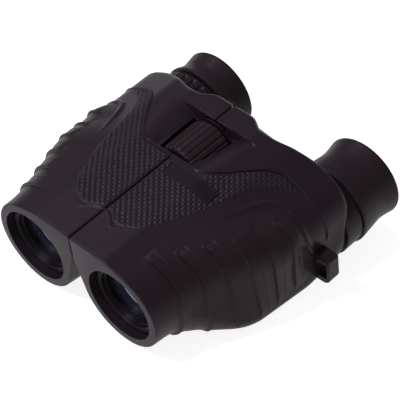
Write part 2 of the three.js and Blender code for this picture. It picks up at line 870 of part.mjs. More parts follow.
function rearHousing(side) {
  const [ownStart, ownEnd] = knuckleSpan(side, rearKnuckles, rearKnuckle);
  const [otherStart, otherEnd] = knuckleSpan(side === left ? right : left, rearKnuckles, rearKnuckle);
  const region = outer.intersect(behindRidge());
  const well = onHinge(rod(wellRadius + wellWall, ridgeFront, wellRear + wellWall));
  const padRadius = proudRadius + gap + rearWall;
  const pad = onEyepiece(rod(padRadius, rearFace - 2 * rearWall, eyecupRear));
  const filled = joined(well, pad, scoopForm(rearWall)).intersect(region);
  const knuckle = onHinge(rod(hinge.rearRadius, ownStart, ownEnd, innerSegments));
  const shell = joined(region.subtract(cavityForm(0)), filled, knuckle);
  return cut(
    shell,
    onHinge(rod(wellRadius, wellFront, wellRear)),
    onHinge(rod(spindleRadius + gap, 0, wellRear, pinSegments)),
    onHinge(rod(hinge.sleeve + gap, wellRear - gap, eyecupRear, pinSegments)),
    hingeRoom(otherStart - gap, otherEnd + gap, hinge.rearRadius),
    scoopForm(0),
    onEyepiece(rod(barrelRadius + gap, prismFront, eyecupRear)),
    onEyepiece(rod(proudRadius + gap, rearFace, eyecupRear)),
    lugFoot(gap),
  );
}

// Eyepiece group, on the eyepiece axis
const barrel = { reach: 4, rearInset: 5.2 };
const barrelFront = rearFace - barrel.reach;
const barrelRear = eyecupRear - barrel.rearInset;
const field = { seat: 1.5, thickness: 3.5, bulge: 0.8 };
const eyeLens = { seat: 2.5, thickness: 6, bulge: 0.9 };
const fieldFront = barrelFront + field.seat;
const eyeLensFront = barrelRear - eyeLens.seat - eyeLens.thickness;
const spacerWall = 0.9;
const collar = { length: 8.2, edge: 0.45 };
const dioptre = {
  length: 14.3,
  flutes: 26,
  fluteRadius: 1.1,
  fluteOut: 0.4,
  fluteStart: 1.8,
  fluteEnd: 0.9,
  plain: 1.8,
  proud: 0.2,
  sleeve: 2.3,
};
const dioptreTravel = 0.8;
const proudRadius = collarRadius + dioptre.proud;
const collarFront = rearFace + gap;
const collarRear = collarFront + collar.length;
const dioptreRear = collarFront + dioptre.length;
const sleeveRear = dioptreRear + dioptre.sleeve;
const eyecup = {
  frontWall: 2.2,
  waistWall: 1.5,
  waistShare: 0.62,
  rimWall: 2,
  rimRound: 1.2,
  lipInset: 0.2,
  lipDepth: 1.4,
  mouthStep: 2,
};
const cupBendShares = { frontRadius: 0.6, frontY: 0.5, rimRadius: 0.45, rimY: 0.55 };

function skirtFront(side) {
  return side === left ? dioptreRear + dioptreTravel + gap : collarRear + gap;
}

function flangeFront(side) {
  return side === left ? sleeveRear + dioptreTravel + gap : skirtFront(side);
}

function eyepieceBarrel(side) {
  const flange = flangeFront(side);
  return turned([
    [barrelBore, barrelFront],
    [barrelRadius, barrelFront],
    [barrelRadius, flange],
    [flangeRadius, flange],
    [flangeRadius, barrelRear],
    [barrelBore, barrelRear],
    [barrelBore, barrelFront],
  ], innerSegments);
}

function spacerTube() {
  const outside = barrelBore - gap;
  const start = fieldFront + field.thickness + gap;
  return tube(outside, outside - spacerWall, start, eyeLensFront - gap, pinSegments);
}

function eyecupPiece(side) {
  const front = skirtFront(side);
  const bore = flangeRadius + gap;
  const lipFront = barrelRear + gap;
  const lipBore = barrelRadius + eyecup.lipInset;
  const waistY = between(collarRear, eyecupRear, eyecup.waistShare);
  const frontRadius = bore + eyecup.frontWall;
  const waistRadius = bore + eyecup.waistWall;
  const rim = bore + eyecup.rimWall;
  const rimY = eyecupRear - eyecup.rimRound;
  return turned([
    [bore, front],
    [frontRadius, front],
    [
      between(frontRadius, waistRadius, cupBendShares.frontRadius),
      between(front, waistY, cupBendShares.frontY),
    ],
    [waistRadius, waistY],
    [between(waistRadius, rim, cupBendShares.rimRadius), between(waistY, rimY, cupBendShares.rimY)],
    [rim, rimY],
    [rim - eyecup.rimRound, eyecupRear],
    [lipBore + eyecup.mouthStep, eyecupRear],
    [lipBore, lipFront + eyecup.lipDepth],
    [lipBore, lipFront],
    [bore, lipFront],
    [bore, front],
  ]);
}

function plainCollar() {
  const bore = barrelRadius + gap;
  return turned([
    [bore, collarFront],
    [collarRadius, collarFront],
    [collarRadius, collarRear - collar.edge],
    [collarRadius - collar.edge, collarRear],
    [bore, collarRear],
    [bore, collarFront],
  ]);
}

function dioptreRing() {
  const bore = barrelRadius + gap;
  const plainRear = collarFront + dioptre.plain;
  const ring = turned([
    [bore, collarFront],
    [collarRadius, collarFront],
    [collarRadius, plainRear - collar.edge],
    [proudRadius, plainRear],
    [proudRadius, dioptreRear - collar.edge],
    [proudRadius - collar.edge, dioptreRear],
    [flangeRadius - gap, dioptreRear],
    [flangeRadius - gap, sleeveRear],
    [bore, sleeveRear],
    [bore, collarFront],
  ]);
  const fluteFront = plainRear + dioptre.fluteStart;
  const flute = rod(dioptre.fluteRadius, fluteFront, dioptreRear - dioptre.fluteEnd, fluteSegments)
    .translate([proudRadius + dioptre.fluteOut, 0, 0]);
  const flutes = Array.from({ length: dioptre.flutes }, (_, i) => {
    return flute.rotate([0, (360 * i) / dioptre.flutes, 0]);
  });
  return cut(ring, ...flutes);
}

// Materials
function material(color, roughness, metalness = 0) {
  return new THREE.MeshStandardMaterial({ color, roughness, metalness });
}

const skinned = material('#2c292b', 0.55);
const grippy = material('#2a2729', 0.75);
const woven = material('#232124', 0.85);
const moulded = material('#1b1a1c', 0.6);
const satinBlack = material('#161617', 0.35, 0.2);
const alloy = material('#8d8f92', 0.4, 0.9);
const brassy = material('#b39a5c', 0.35, 0.9);
const steel = material('#a2a4a6', 0.3, 1);
const clearGlass = material('#dfe6e6', 0.05);
const coatedGlass = material('#5d6f8a', 0.05, 0.2);
const bareBadge = material('#3a3839', 0.35, 0.3);

function group(parent, x = 0, z = 0) {
  const made = new THREE.Group();
  made.position.set(x, 0, z);
  parent.add(made);
  return made;
}

function add(parent, name, manifold, look) {
  const mesh = new THREE.Mesh(geometryOf(manifold), look);
  mesh.name = name;
  parent.add(mesh);
}

// Assembly
const binoculars = new THREE.Group();

[left, right].forEach((side) => {
  const half = group(binoculars);
  const named = (name) => `${side.name}_${name}`;
  const piece = (name, manifold, look) => add(half, named(name), sided(manifold, side), look);
  piece('front_housing', frontHousing(), skinned);
  piece('rear_housing', rearHousing(side), skinned);
  piece('strap_lug', strapLug(), skinned);
  piece('side_grip', sideGrip(), grippy);
  piece('top_panel', topPanel(side), woven);
  piece('chassis', chassisPiece(side), alloy);
  piece('rear_prism', onRearPrism(prismOutline(rearPrismHalf, 0), 2 * prism.beam), clearGlass);
  piece('front_prism', onFrontPrism(prismOutline(frontPrismHalf, 0), 2 * prism.beam), clearGlass);
  piece('rear_prism_clip', onRearPrism(clipOutline(rearPrismHalf), clip.width), steel);
  piece('front_prism_clip', onFrontPrism(clipOutline(frontPrismHalf), clip.width), steel);
  piece('focus_arm', focusArm(side), satinBlack);

  const objective = group(half, side.sign * objectiveX);
  add(objective, named('objective_cell'), objectiveCell(), moulded);
  add(objective, named('retaining_ring'), retainingRing(), satinBlack);
  add(objective, named('objective_doublet'),
    lens(cellBore - gap, doubletFront, doubletRear, doublet.bulge, doublet.bulge), coatedGlass);

  const eyepiece = group(half, side.sign * eyepieceX, -eyepieceDrop);
  const lensRadius = barrelBore - gap;
  add(eyepiece, named('eyepiece_barrel'), eyepieceBarrel(side), satinBlack);
  add(eyepiece, named('field_lens'),
    lens(lensRadius, fieldFront, fieldFront + field.thickness, field.bulge, 0, pinSegments), clearGlass);
  add(eyepiece, named('spacer_tube'), spacerTube(), satinBlack);
  const eyeLensRear = eyeLensFront + eyeLens.thickness;
  add(eyepiece, named('eye_lens'),
    lens(lensRadius, eyeLensFront, eyeLensRear, eyeLens.bulge, eyeLens.bulge), coatedGlass);
  add(eyepiece, named('eyecup'), eyecupPiece(side), grippy);
  if (side === left) {
    add(eyepiece, named('dioptre_ring'), dioptreRing(), moulded);
  } else {
    add(eyepiece, named('eyepiece_collar'), plainCollar(), moulded);
  }
});

add(binoculars, 'name_plate', namePlate(), bareBadge);

const fold = group(binoculars, 0, hingeZ);
const [, frontHingeEnd] = knuckleSpan(right, hingeFront, frontKnuckle);
const [, middleHingeEnd] = knuckleSpan(right, middleFront, middleKnuckle);
const [, rearHingeEnd] = knuckleSpan(right, rearKnuckles, rearKnuckle);
const spindleFront = frontHingeEnd + 2 * gap;
add(fold, 'front_hinge_pin', rod(hinge.pin, hingeFront + gap, frontHingeEnd, pinSegments), steel);
add(fold, 'middle_hinge_sleeve',
  tube(hinge.sleeve, spindleRadius + gap, middleFront, middleHingeEnd, pinSegments), brassy);
add(fold, 'rear_hinge_bush',
  tube(hinge.sleeve, spindleRadius + gap, wellRear, rearHingeEnd, pinSegments), brassy);
add(fold, 'focus_nut', focusNut(), brassy);
add(fold, 'focus_spindle', rod(spindleRadius, spindleFront, rearHingeEnd - gap, pinSegments), steel);
add(fold, 'focus_wheel', focusWheel(), grippy);

// Leaned to its rest on the hoods and collars, its lowest points on the ground, centred over the origin
binoculars.rotation.x = Math.atan(pitchSlope);
const box = new THREE.Box3().setFromObject(binoculars, true);
const middle = box.getCenter(new THREE.Vector3());
binoculars.position.set(-middle.x, -middle.y, -box.min.z);

const placed = new THREE.Group();
placed.add(binoculars);

export default placed;
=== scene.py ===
"""Compact folding binoculars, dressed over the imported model.

Lengths are millimetres in the drawn frame of the right half: optical axes along Y with the hood's rim at
y = 0, the fold axis over x = 0, and heights counted from the objective axis. The left half is the mirror.
Bench turns the drawn frame to the row frame's metres.
"""

import json
import logging
import math
from collections.abc import Callable
from dataclasses import dataclass, field
from enum import Enum

import bmesh
import bpy
import numpy as np
from mathutils import Matrix, Vector


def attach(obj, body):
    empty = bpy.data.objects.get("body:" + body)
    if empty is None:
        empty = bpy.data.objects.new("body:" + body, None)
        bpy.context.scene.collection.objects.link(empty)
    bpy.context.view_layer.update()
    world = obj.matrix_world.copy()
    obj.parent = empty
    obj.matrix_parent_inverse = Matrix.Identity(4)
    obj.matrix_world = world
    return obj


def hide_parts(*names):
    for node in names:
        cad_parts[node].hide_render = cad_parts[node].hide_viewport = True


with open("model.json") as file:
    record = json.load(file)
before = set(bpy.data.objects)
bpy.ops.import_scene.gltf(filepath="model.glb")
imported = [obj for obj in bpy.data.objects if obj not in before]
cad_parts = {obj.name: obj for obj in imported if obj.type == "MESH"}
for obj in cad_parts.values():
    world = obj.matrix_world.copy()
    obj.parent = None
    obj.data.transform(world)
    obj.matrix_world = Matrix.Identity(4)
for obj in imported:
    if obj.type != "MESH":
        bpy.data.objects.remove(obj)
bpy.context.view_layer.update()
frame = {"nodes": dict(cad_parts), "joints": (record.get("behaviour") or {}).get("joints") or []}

log = logging.getLogger("binoculars")
MM = 0.001
ON_RIM = 0.05
LONG_STRETCH = 2.0

Solid = bmesh.types.BMesh
Profile = list[tuple[float, float]]


class Side(Enum):
    """The half of the binoculars, as the photograph shows them."""

    LEFT = "left"
    RIGHT = "right"

    @property
    def sign(self) -> int:
        """The side of the fold axis that it lies on."""
        return 1 if self is Side.RIGHT else -1

    @property
    def body(self) -> str:
        """The CAD body that carries this half."""
        return f"{self.value}_half"


class Cut(Enum):
    """The ways that one solid changes another."""

    AWAY = "DIFFERENCE"
    WITHIN = "INTERSECT"
    JOIN = "UNION"


def smooth(share: np.ndarray | float) -> np.ndarray:
    """An even start and end between 0 and 1."""
    t = np.clip(share, 0.0, 1.0)
    return t * t * (3 - 2 * t)


def between(start: float, end: float, share: np.ndarray | float) -> np.ndarray:
    """The value a share of the way from start to end."""
    return start + (end - start) * share


@dataclass(frozen=True)
class Span:
    """A stretch along Y."""

    start: float
    end: float

    def passed(self, y: np.ndarray) -> np.ndarray:
        """How far y has gone through the stretch, with an even start and end."""
        return smooth((y - self.start) / (self.end - self.start))


class Slot(Enum):
    """The record's material slots."""

    SKIN = "skinned_shell"
    GRIP = "rubber_grip"
    WEAVE = "woven_panel"
    MOULDED = "moulded_black"
    SATIN = "satin_black"
    ALLOY = "bare_alloy"
    BRASS = "brass"
    STEEL = "steel"
    CLEAR = "clear_glass"
    COATED = "coated_glass"
    BADGE = "badge"


@dataclass(frozen=True)
class Bench:
    """Turns solids of the drawn frame into finished objects of the row frame.

    The lean and the place come from the fold axis in the record.
    """

    materials: dict[Slot, bpy.types.Material]
    hinge_y: float = 50.0
    hinge_z: float = 9.2
    crease: float = 34.0

    def placing(self) -> Matrix:
        """The drawn frame's place in the row frame, millimetres to metres."""
        fold = next(joint for joint in frame["joints"] if joint["name"] == "fold")
        axis = Vector(fold["axis"])
        lean = Matrix.Rotation(math.atan2(axis.z, axis.y), 4, "X")
        shift = Vector(fold["pos_m"]) - MM * (lean @ Vector((0, self.hinge_y, self.hinge_z)))
        return Matrix.Translation(shift) @ lean @ Matrix.Scale(MM, 4)

    def carve(self, base: Solid, steps: list[tuple[Cut, Solid]]) -> Solid:
        """Cuts and joins solids.

        Args:
            base: the solid that is worked on.
            steps: what is done to it, in order, and with which solid.

        Returns:
            The worked solid. All the solids handed in are freed.
        """
        work = self._loose(base, "work")
        tools = []
        for cut, solid in steps:
            tool = self._loose(solid, "tool")
            modifier = work.modifiers.new("carve", "BOOLEAN")
            modifier.operation = cut.value
            modifier.solver = "MANIFOLD"
            modifier.object = tool
            tools.append(tool)
        bpy.context.view_layer.update()
        worked = work.evaluated_get(bpy.context.evaluated_depsgraph_get())
        result = bmesh.new()
        result.from_mesh(worked.data)
        for item in [work, *tools]:
            mesh = item.data
            bpy.data.objects.remove(item)
            bpy.data.meshes.remove(mesh)
        return result

    def _loose(self, solid: Solid, name: str) -> bpy.types.Object:
        """An object for one carving step, from a solid that is then freed."""
        mesh = bpy.data.meshes.new(name)
        solid.to_mesh(mesh)
        solid.free()
        made = bpy.data.objects.new(name, mesh)
        bpy.context.scene.collection.objects.link(made)
        made.hide_render = True
        return made

    def finish(self, solid: Solid, name: str, body: str, node: str, slot: Slot) -> bpy.types.Object:
        """Places a solid, shades it and hangs it on its body.

        Args:
            solid: the finished shape in the drawn frame, freed here.
            name: the object's name.
            body: the CAD body that it rides on.
            node: the CAD node that it stands for.
            slot: the record's material slot, which gives its finish.

        Returns:
            The object.
        """
        solid.transform(self.placing())
        mesh = bpy.data.meshes.new(name)
        solid.to_mesh(mesh)
        solid.free()
        mesh.shade_smooth()
        mesh.set_sharp_from_angle(angle=math.radians(self.crease))
        made = bpy.data.objects.new(name, mesh)
        bpy.context.scene.collection.objects.link(made)
        mesh.materials.append(self.materials[slot])
        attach(made, body)
        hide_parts(node)
        log.info("%s: %d faces on %s", name, len(mesh.polygons), body)
        return made


def mirrored(solid: Solid) -> Solid:
    """The left half's copy of a right-hand solid, facing outwards."""
    copy = solid.copy()
    copy.transform(Matrix.Scale(-1, 4, Vector((1, 0, 0))))
    bmesh.ops.reverse_faces(copy, faces=copy.faces[:])
    return copy


def sheet_of(points: np.ndarray) -> Solid:
    """A grid of faces whose vertices take the given places.

    Args:
        points: places by row, column and axis.

    Returns:
        The open sheet.
    """
    rows, columns = points.shape[:2]
    sheet = bmesh.new()
    bmesh.ops.create_grid(sheet, x_segments=columns - 1, y_segments=rows - 1, size=1)
    sheet.verts.ensure_lookup_table()
    for vertex, place in zip(sheet.verts, points.reshape(-1, 3).tolist()):
        vertex.co = place
    return sheet


def closed(solid: Solid, merge: float = 0.002) -> Solid:
    """Merges what meets, fills the open ends and turns the faces outwards."""
    bmesh.ops.remove_doubles(solid, verts=solid.verts[:], dist=merge)
    rims = [edge for edge in solid.edges if edge.is_boundary]
    bmesh.ops.holes_fill(solid, edges=rims, sides=0)
    bmesh.ops.recalc_face_normals(solid, faces=solid.faces[:])
    if solid.calc_volume(signed=True) < 0:
        bmesh.ops.reverse_faces(solid, faces=solid.faces[:])
    return solid


def slab(points: np.ndarray, drop: np.ndarray) -> Solid:
    """A closed plate with the given outer face.

    Args:
        points: places of the outer face by row, column and axis.
        drop: the way from each outer point to the inner face.

    Returns:
        The closed solid.
    """
    ring = np.concatenate([points, (points + drop)[:, ::-1], points[:, :1]], axis=1)
    return closed(sheet_of(ring))


def turned(profile: Profile, steps: int = 128) -> Solid:
    """Spins a closed profile of radius and Y about the Y axis.

    Args:
        profile: radius and y of each corner, in order round the section.
        steps: faces round the turn.

    Returns:
        The closed solid, on the axis.
    """
    solid = bmesh.new()
    ring = [solid.verts.new((radius, y, 0)) for radius, y in profile]
    open_end = profile[0][0] == 0 and profile[-1][0] == 0
    pairs = list(zip(ring, ring[1:])) + ([] if open_end else [(ring[-1], ring[0])])
    edges = [solid.edges.new(pair) for pair in pairs]
    bmesh.ops.spin(
        solid,
        geom=ring + edges,
        cent=(0, 0, 0),
        axis=(0, 1, 0),
        angle=2 * math.pi,
        steps=steps,
        use_merge=True,
    )
    return closed(solid)


def shifted(solid: Solid, x: float = 0.0, y: float = 0.0, z: float = 0.0) -> Solid:
    """The solid, moved."""
    bmesh.ops.translate(solid, verts=solid.verts[:], vec=(x, y, z))
    return solid


def rod(radius: float, y0: float, y1: float, steps: int = 96) -> Solid:
    """A round rod along Y."""
    return turned([(0, y0), (radius, y0), (radius, y1), (0, y1)], steps)


def with_rows(profile: Profile, radius: float, rows: int) -> Profile:
    """A profile with more points in its long straight stretch at a radius.

    Args:
        profile: radius and y of each corner.
        radius: the radius of the stretch.
        rows: the points of the stretch.

    Returns:
        The denser profile.
    """
    dense: Profile = []
    for point in profile:
        if dense and point[0] > radius - ON_RIM and point[1] - dense[-1][1] > LONG_STRETCH:
            dense += [(radius, float(y)) for y in np.linspace(dense[-1][1], point[1], rows)[1:-1]]
        dense.append(point)
    return dense


def drawn_inwards(
    solid: Solid, count: int, beyond: float, depth_at: Callable[[float, float], float]
) -> Solid:
    """Draws the outer vertices of a turned solid inwards, alike in each of its parts.

    Args:
        solid: the solid, turned about the Y axis.
        count: the parts round the turn.
        beyond: only vertices outside this radius move.
        depth_at: how deep a vertex goes, from its share across a part and its y.

    Returns:
        The same solid.
    """
    for vertex in solid.verts:
        x, y, z = vertex.co
        radius = math.hypot(x, z)
        if radius < beyond:
            continue
        turn = math.atan2(z, x) / (2 * math.pi) * count
        depth = depth_at(turn - round(turn), y)
        vertex.co.x *= 1 - depth / radius
        vertex.co.z *= 1 - depth / radius
    return solid


def lens_profile(radius: float, front: float, rear: float, bulge: float, rows: int) -> Profile:
    """The profile of a lens that bulges to the front and the rear.

    Args:
        radius: the lens's radius.
        front: where its middle starts.
        rear: where its middle ends.
        bulge: how far its rim stands back at each face.
        rows: the points from the middle to the rim.

    Returns:
        The points, from the front's middle to the rear's.
    """
    shares = np.linspace(0, 1, rows)
    profile = [(radius * t, front + bulge * t**2) for t in shares]
    return profile + [(radius * t, rear - bulge * t**2) for t in shares[::-1]]


def block(x: Span, y: Span, z: Span) -> Solid:
    """A block between three spans."""
    solid = bmesh.new()
    bmesh.ops.create_cube(solid, size=1)
    bmesh.ops.scale(solid, verts=solid.verts[:], vec=(x.end - x.start, y.end - y.start, z.end - z.start))
    centre = [(span.start + span.end) / 2 for span in (x, y, z)]
    return shifted(solid, *centre)


def prism_of(outline: list[tuple[float, float, float]], way: tuple[float, float, float]) -> Solid:
    """A flat outline drawn out along a way."""
    solid = bmesh.new()
    face = solid.faces.new([solid.verts.new(point) for point in outline])
    drawn = bmesh.ops.extrude_face_region(solid, geom=[face])
    moved = [item for item in drawn["geom"] if isinstance(item, bmesh.types.BMVert)]
    bmesh.ops.translate(solid, verts=moved, vec=way)
    bmesh.ops.recalc_face_normals(solid, faces=solid.faces[:])
    bmesh.ops.triangulate(solid, faces=solid.faces[:])
    return solid


def rounded(corners: list[tuple[float, float, float]], steps: int = 5) -> Profile:
    """A profile with its corners rounded.

    Args:
        corners: radius, y and rounding of each corner.
        steps: points on each rounding.

    Returns:
        The profile's points.
    """
    points: Profile = []
    count = len(corners)
    for i, (a, b, size) in enumerate(corners):
        here = Vector((a, b))
        if size == 0:
            points.append((a, b))
            continue
        before = (Vector(corners[i - 1][:2]) - here).normalized() * size
        after = (Vector(corners[(i + 1) % count][:2]) - here).normalized() * size
        for step in range(steps + 1):
            t = step / steps
            point = here + before * (1 - t) ** 2 + after * t**2
            points.append((point.x, point.y))
    return points


@dataclass(frozen=True)
class SkinPoints:
    """Points of a half's skin: their places, facing and way down the side."""

    x: np.ndarray
    y: np.ndarray
    z: np.ndarray
    facing: np.ndarray
    down: np.ndarray

    def raised(self, height: np.ndarray | float) -> np.ndarray:
        """Their places, moved outwards by a height."""
        x = self.x + height * np.cos(self.facing)
        return np.stack([x, self.y, self.z + height * np.sin(self.facing)], axis=2)


Swell = Callable[[SkinPoints], np.ndarray]


@dataclass
class BodyForm:
    """The moulded form of a half: at each station the outline drawn tight round a few round rods."""

    objective_x: float = 21.5
    eyepiece_x: float = 37.0
    eyepiece_drop: float = 15.3
    hood_radius: float = 18.1
    seam_top: float = 20.0
    side_x: float = 51.8
    rear_face: float = 83.0
    hinge_z: float = 9.2
    collar_radius: float = 16.2
    half_seam: float = 0.15
    edge: float = 0.7
    side_flare: Span = Span(6, 40)
    upper_flare: Span = Span(2, 54)
    corner_flare: Span = Span(9, 34)
    upper_sink_span: Span = Span(34, 60)
    tail: Span = Span(60, 80)
    upper_radius: float = 15.5
    upper_sink: float = 5.0
    corner_radius: float = 5.0
    inner_corner_x: float = 33.0
    top_rod_radius: float = 7.0
    top_rod_x: float = 16.0
    tail_skin: float = 0.4
    under_clearance: float = 0.8
    rim_round: float = 0.5
    rear_round: float = 3.2
    bulge: float = 1.5
    bulge_end: float = 8.0
    dip: float = 2.0
    dip_x: float = 16.0
    reach: float = 4.6
    reach_x: float = 41.0
    shift_start: float = 66.0
    shoulder: tuple[float, float, float] = (57.5, 4.0, 1.7)
    shoulder_reach: tuple[float, float] = (8.0, 11.0)
    fade_top: float = 2.0
    fade_bottom: float = -21.0
    overrun: float = 4.0
    start_angle: float = math.radians(185)
    top_angle: float = math.radians(450)
    upper_angles: Span = Span(math.radians(368), math.radians(538))
    angle_steps: int = 1440
    top_columns: int = 600
    core_columns: int = 160
    least_step: float = 1e-7

    @property
    def pitch_slope(self) -> float:
        """How far the lower side falls for each millimetre to the rear."""
        return (self.eyepiece_drop + self.collar_radius - self.hood_radius) / self.rear_face

    def rods(self, y: np.ndarray, inset: np.ndarray, open_seam: bool) -> list[tuple]:
        """The place and radius of each rod at each station."""
        corner = self.corner_flare.passed(y)
        to_eyepiece = self.tail.passed(y)
        hood_side = self.objective_x + self.hood_radius
        side = between(hood_side, self.side_x, self.side_flare.passed(y))
        upper_side = between(hood_side, self.side_x, self.upper_flare.passed(y))
        upper = between(self.hood_radius, self.upper_radius, self.upper_flare.passed(y))
        bottom = -self.hood_radius - self.pitch_slope * y + self.under_clearance * corner
        low = between(self.hood_radius, self.corner_radius, corner)
        low_x = side - low + (self.eyepiece_x - side + low) * to_eyepiece
        low_z = bottom + low + (-self.eyepiece_drop - bottom - low) * to_eyepiece
        low_radius = low + (self.collar_radius - self.tail_skin - low) * to_eyepiece
        inner = between(self.objective_x, self.inner_corner_x, corner)
        inner_x = inner + (self.eyepiece_x - inner) * to_eyepiece
        whole = np.ones_like(y)
        small = np.zeros_like(y) if open_seam else np.maximum(self.edge - inset, 0.0)
        deep = np.maximum(inset, self.edge)
        seam = -self.overrun * whole if open_seam else self.half_seam + deep
        seam_z = self.seam_top - (inset if open_seam else deep)
        return [
            (self.objective_x * whole, 0 * whole, self.hood_radius - inset),
            (
                self.top_rod_x * whole,
                (self.seam_top - self.top_rod_radius) * whole,
                self.top_rod_radius - np.minimum(inset, self.top_rod_radius),
            ),
            (seam, seam_z * whole, small),
            (seam, self.hinge_z * whole, small),
            (upper_side - upper, -self.upper_sink * self.upper_sink_span.passed(y), upper - inset),
            (low_x, low_z, low_radius - np.minimum(inset, low_radius)),
            (inner_x, low_z, low_radius - np.minimum(inset, low_radius)),
        ]

    def rings(
        self,
        stations: np.ndarray,
        columns: int,
        inset: np.ndarray | float = 0.0,
        open_seam: bool = False,
    ) -> np.ndarray:
        """The outline at each station, its points evenly spread.

        Args:
            stations: the y of each ring.
            columns: points round a ring.
            inset: how far inside the skin, one value or one for each station.
            open_seam: whether the outline runs on over the seam.

        Returns:
            For each point, by station and column: x, z, the direction in which its skin faces, and the way
            down the side from the top of the outline.
        """
        angles = self.start_angle + np.linspace(0, 2 * math.pi, self.angle_steps + 1)
        facing = np.stack([np.cos(angles), np.sin(angles)])
        depth = np.broadcast_to(np.asarray(inset, float), stations.shape)
        reach, places = [], []
        for x, z, radius in self.rods(stations, depth, open_seam):
            radius = np.broadcast_to(radius, stations.shape)[:, None]
            reach.append(x[:, None] * facing[0] + z[:, None] * facing[1] + radius)
            places.append(np.stack([x[:, None] + radius * facing[0], z[:, None] + radius * facing[1]]))
        chosen = np.argmax(np.stack(reach), axis=0)
        tight = np.take_along_axis(np.stack(places), chosen[None, None], axis=0)[0]
        steps = np.hypot(*np.diff(tight, axis=2)) + self.least_step
        along = np.concatenate([np.zeros((len(stations), 1)), np.cumsum(steps, axis=1)], axis=1)
        result = np.empty((4, len(stations), columns))
        for row, length in enumerate(along):
            even = np.linspace(0, length[-1], columns + 1)[:-1]
            result[0, row] = np.interp(even, length, tight[0, row])
            result[1, row] = np.interp(even, length, tight[1, row])
            result[2, row] = np.interp(even, length, angles)
            result[3, row] = np.interp(self.top_angle, angles, length) - even
        return result

    def rear_shift(self, x: np.ndarray, y: np.ndarray, z: np.ndarray) -> np.ndarray:
        """How far the rear edge's plan moves a point to the rear."""
        to_dip = smooth((x - self.bulge_end) / (self.dip_x - self.bulge_end))
        to_reach = smooth((x - self.dip_x) / (self.reach_x - self.dip_x))
        inner, outer = between(self.bulge, -self.dip, to_dip), between(-self.dip, self.reach, to_reach)
        plan = np.where(x < self.dip_x, inner, outer)
        height = smooth((z - self.fade_bottom) / (self.fade_top - self.fade_bottom))
        return plan * height * smooth((y - self.shift_start) / (self.rear_face - self.shift_start))

    def shoulder_swell(self, at: SkinPoints) -> np.ndarray:
        """The swelling behind the last rib, on the side of the shoulder."""
        y, z, height = self.shoulder
        off = np.hypot((at.y - y) / self.shoulder_reach[0], (at.z - z) / self.shoulder_reach[1])
        return height * (1 - smooth(off)) * (at.x > self.objective_x)

    def skin(self, stations: np.ndarray, columns: int, swell: Swell | None = None) -> np.ndarray:
        """The places of the outer skin.

        Args:
            stations: the y of each ring.
            columns: points round a ring.
            swell: how far the skin stands out at each point, or None.

        Returns:
            Places by station, column and axis.
        """
        x, z, facing, down = self.rings(stations, columns, self.end_inset(stations))
        y = np.broadcast_to(stations[:, None], x.shape)
        y = y + self.rear_shift(x, y, z)
        if swell is not None:
            height = swell(SkinPoints(x, y, z, facing, down))
            x = x + height * np.cos(facing)
            z = z + height * np.sin(facing)
        return np.stack([x, y, z], axis=2)

    def top(self, stations: np.ndarray, x: np.ndarray) -> SkinPoints:
        """The upper skin at given distances from the seam.

        Args:
            stations: the y of each row.
            x: the x of each column.

        Returns:
            The points, by row and column.
        """
        ring_x, ring_z, facing, down = self.rings(stations, self.top_columns)
        shape = (len(stations), len(x))
        z, turned_to, way = np.empty(shape), np.empty(shape), np.empty(shape)
        low, high = self.upper_angles.start, self.upper_angles.end
        for row in range(len(stations)):
            upper = np.flatnonzero((facing[row] > low) & (facing[row] < high))[::-1]
            z[row] = np.interp(x, ring_x[row, upper], ring_z[row, upper])
            turned_to[row] = np.interp(x, ring_x[row, upper], facing[row, upper])
            way[row] = np.interp(x, ring_x[row, upper], down[row, upper])
        across = np.broadcast_to(x, shape)
        y = np.broadcast_to(stations[:, None], shape)
        return SkinPoints(across, y + self.rear_shift(across, y, z), z, turned_to, way)

    def end_inset(self, stations: np.ndarray) -> np.ndarray:
        """The rounding of the rim and of the rear end."""
        front = np.clip(1 - stations / self.rim_round, 0, 1)
        rear = np.clip((stations - self.rear_face + self.rear_round) / self.rear_round, 0, 1)
        return self.rim_round * (1 - np.sqrt(1 - front**2)) + self.rear_round * (1 - np.sqrt(1 - rear**2))

    def loft(
        self,
        stations: np.ndarray,
        columns: int,
        swell: Swell | None = None,
        closing: int = 5,
    ) -> Solid:
        """The closed form, its rear end drawn in over smaller rings.

        Args:
            stations: the y of each ring.
            columns: points round a ring.
            swell: how far the skin stands out, or None.
            closing: smaller rings at the rear end.

        Returns:
            The closed solid.
        """
        places = self.skin(stations, columns, swell)
        centre = places[-1].mean(axis=0)
        rings = []
        for share in np.linspace(1, 0, closing + 2)[1:-1]:
            ring = centre + (places[-1] - centre) * share
            ring[:, 1] = stations[-1] + self.rear_shift(ring[:, 0], stations[-1], ring[:, 2])
            rings.append(ring)
        places = np.concatenate([places, np.stack(rings)])
        return closed(sheet_of(np.concatenate([places, places[:, :1]], axis=1)))

    def core(self, span: Span, depth: float, open_seam: bool = False, pitch: float = 1.5) -> Solid:
        """What lies under the skin by more than a depth.

        Args:
            span: where it starts and ends.
            depth: how far under the skin.
            open_seam: whether it runs on over the seam.
            pitch: the step from ring to ring.

        Returns:
            The closed solid.
        """
        stations = np.linspace(span.start, span.end, round((span.end - span.start) / pitch) + 1)
        x, z, _, _ = self.rings(stations, self.core_columns, depth, open_seam)
        y = np.broadcast_to(stations[:, None], x.shape)
        places = np.stack([x, y + self.rear_shift(x, y, z), z], axis=2)
        return closed(sheet_of(np.concatenate([places, places[:, :1]], axis=1)))


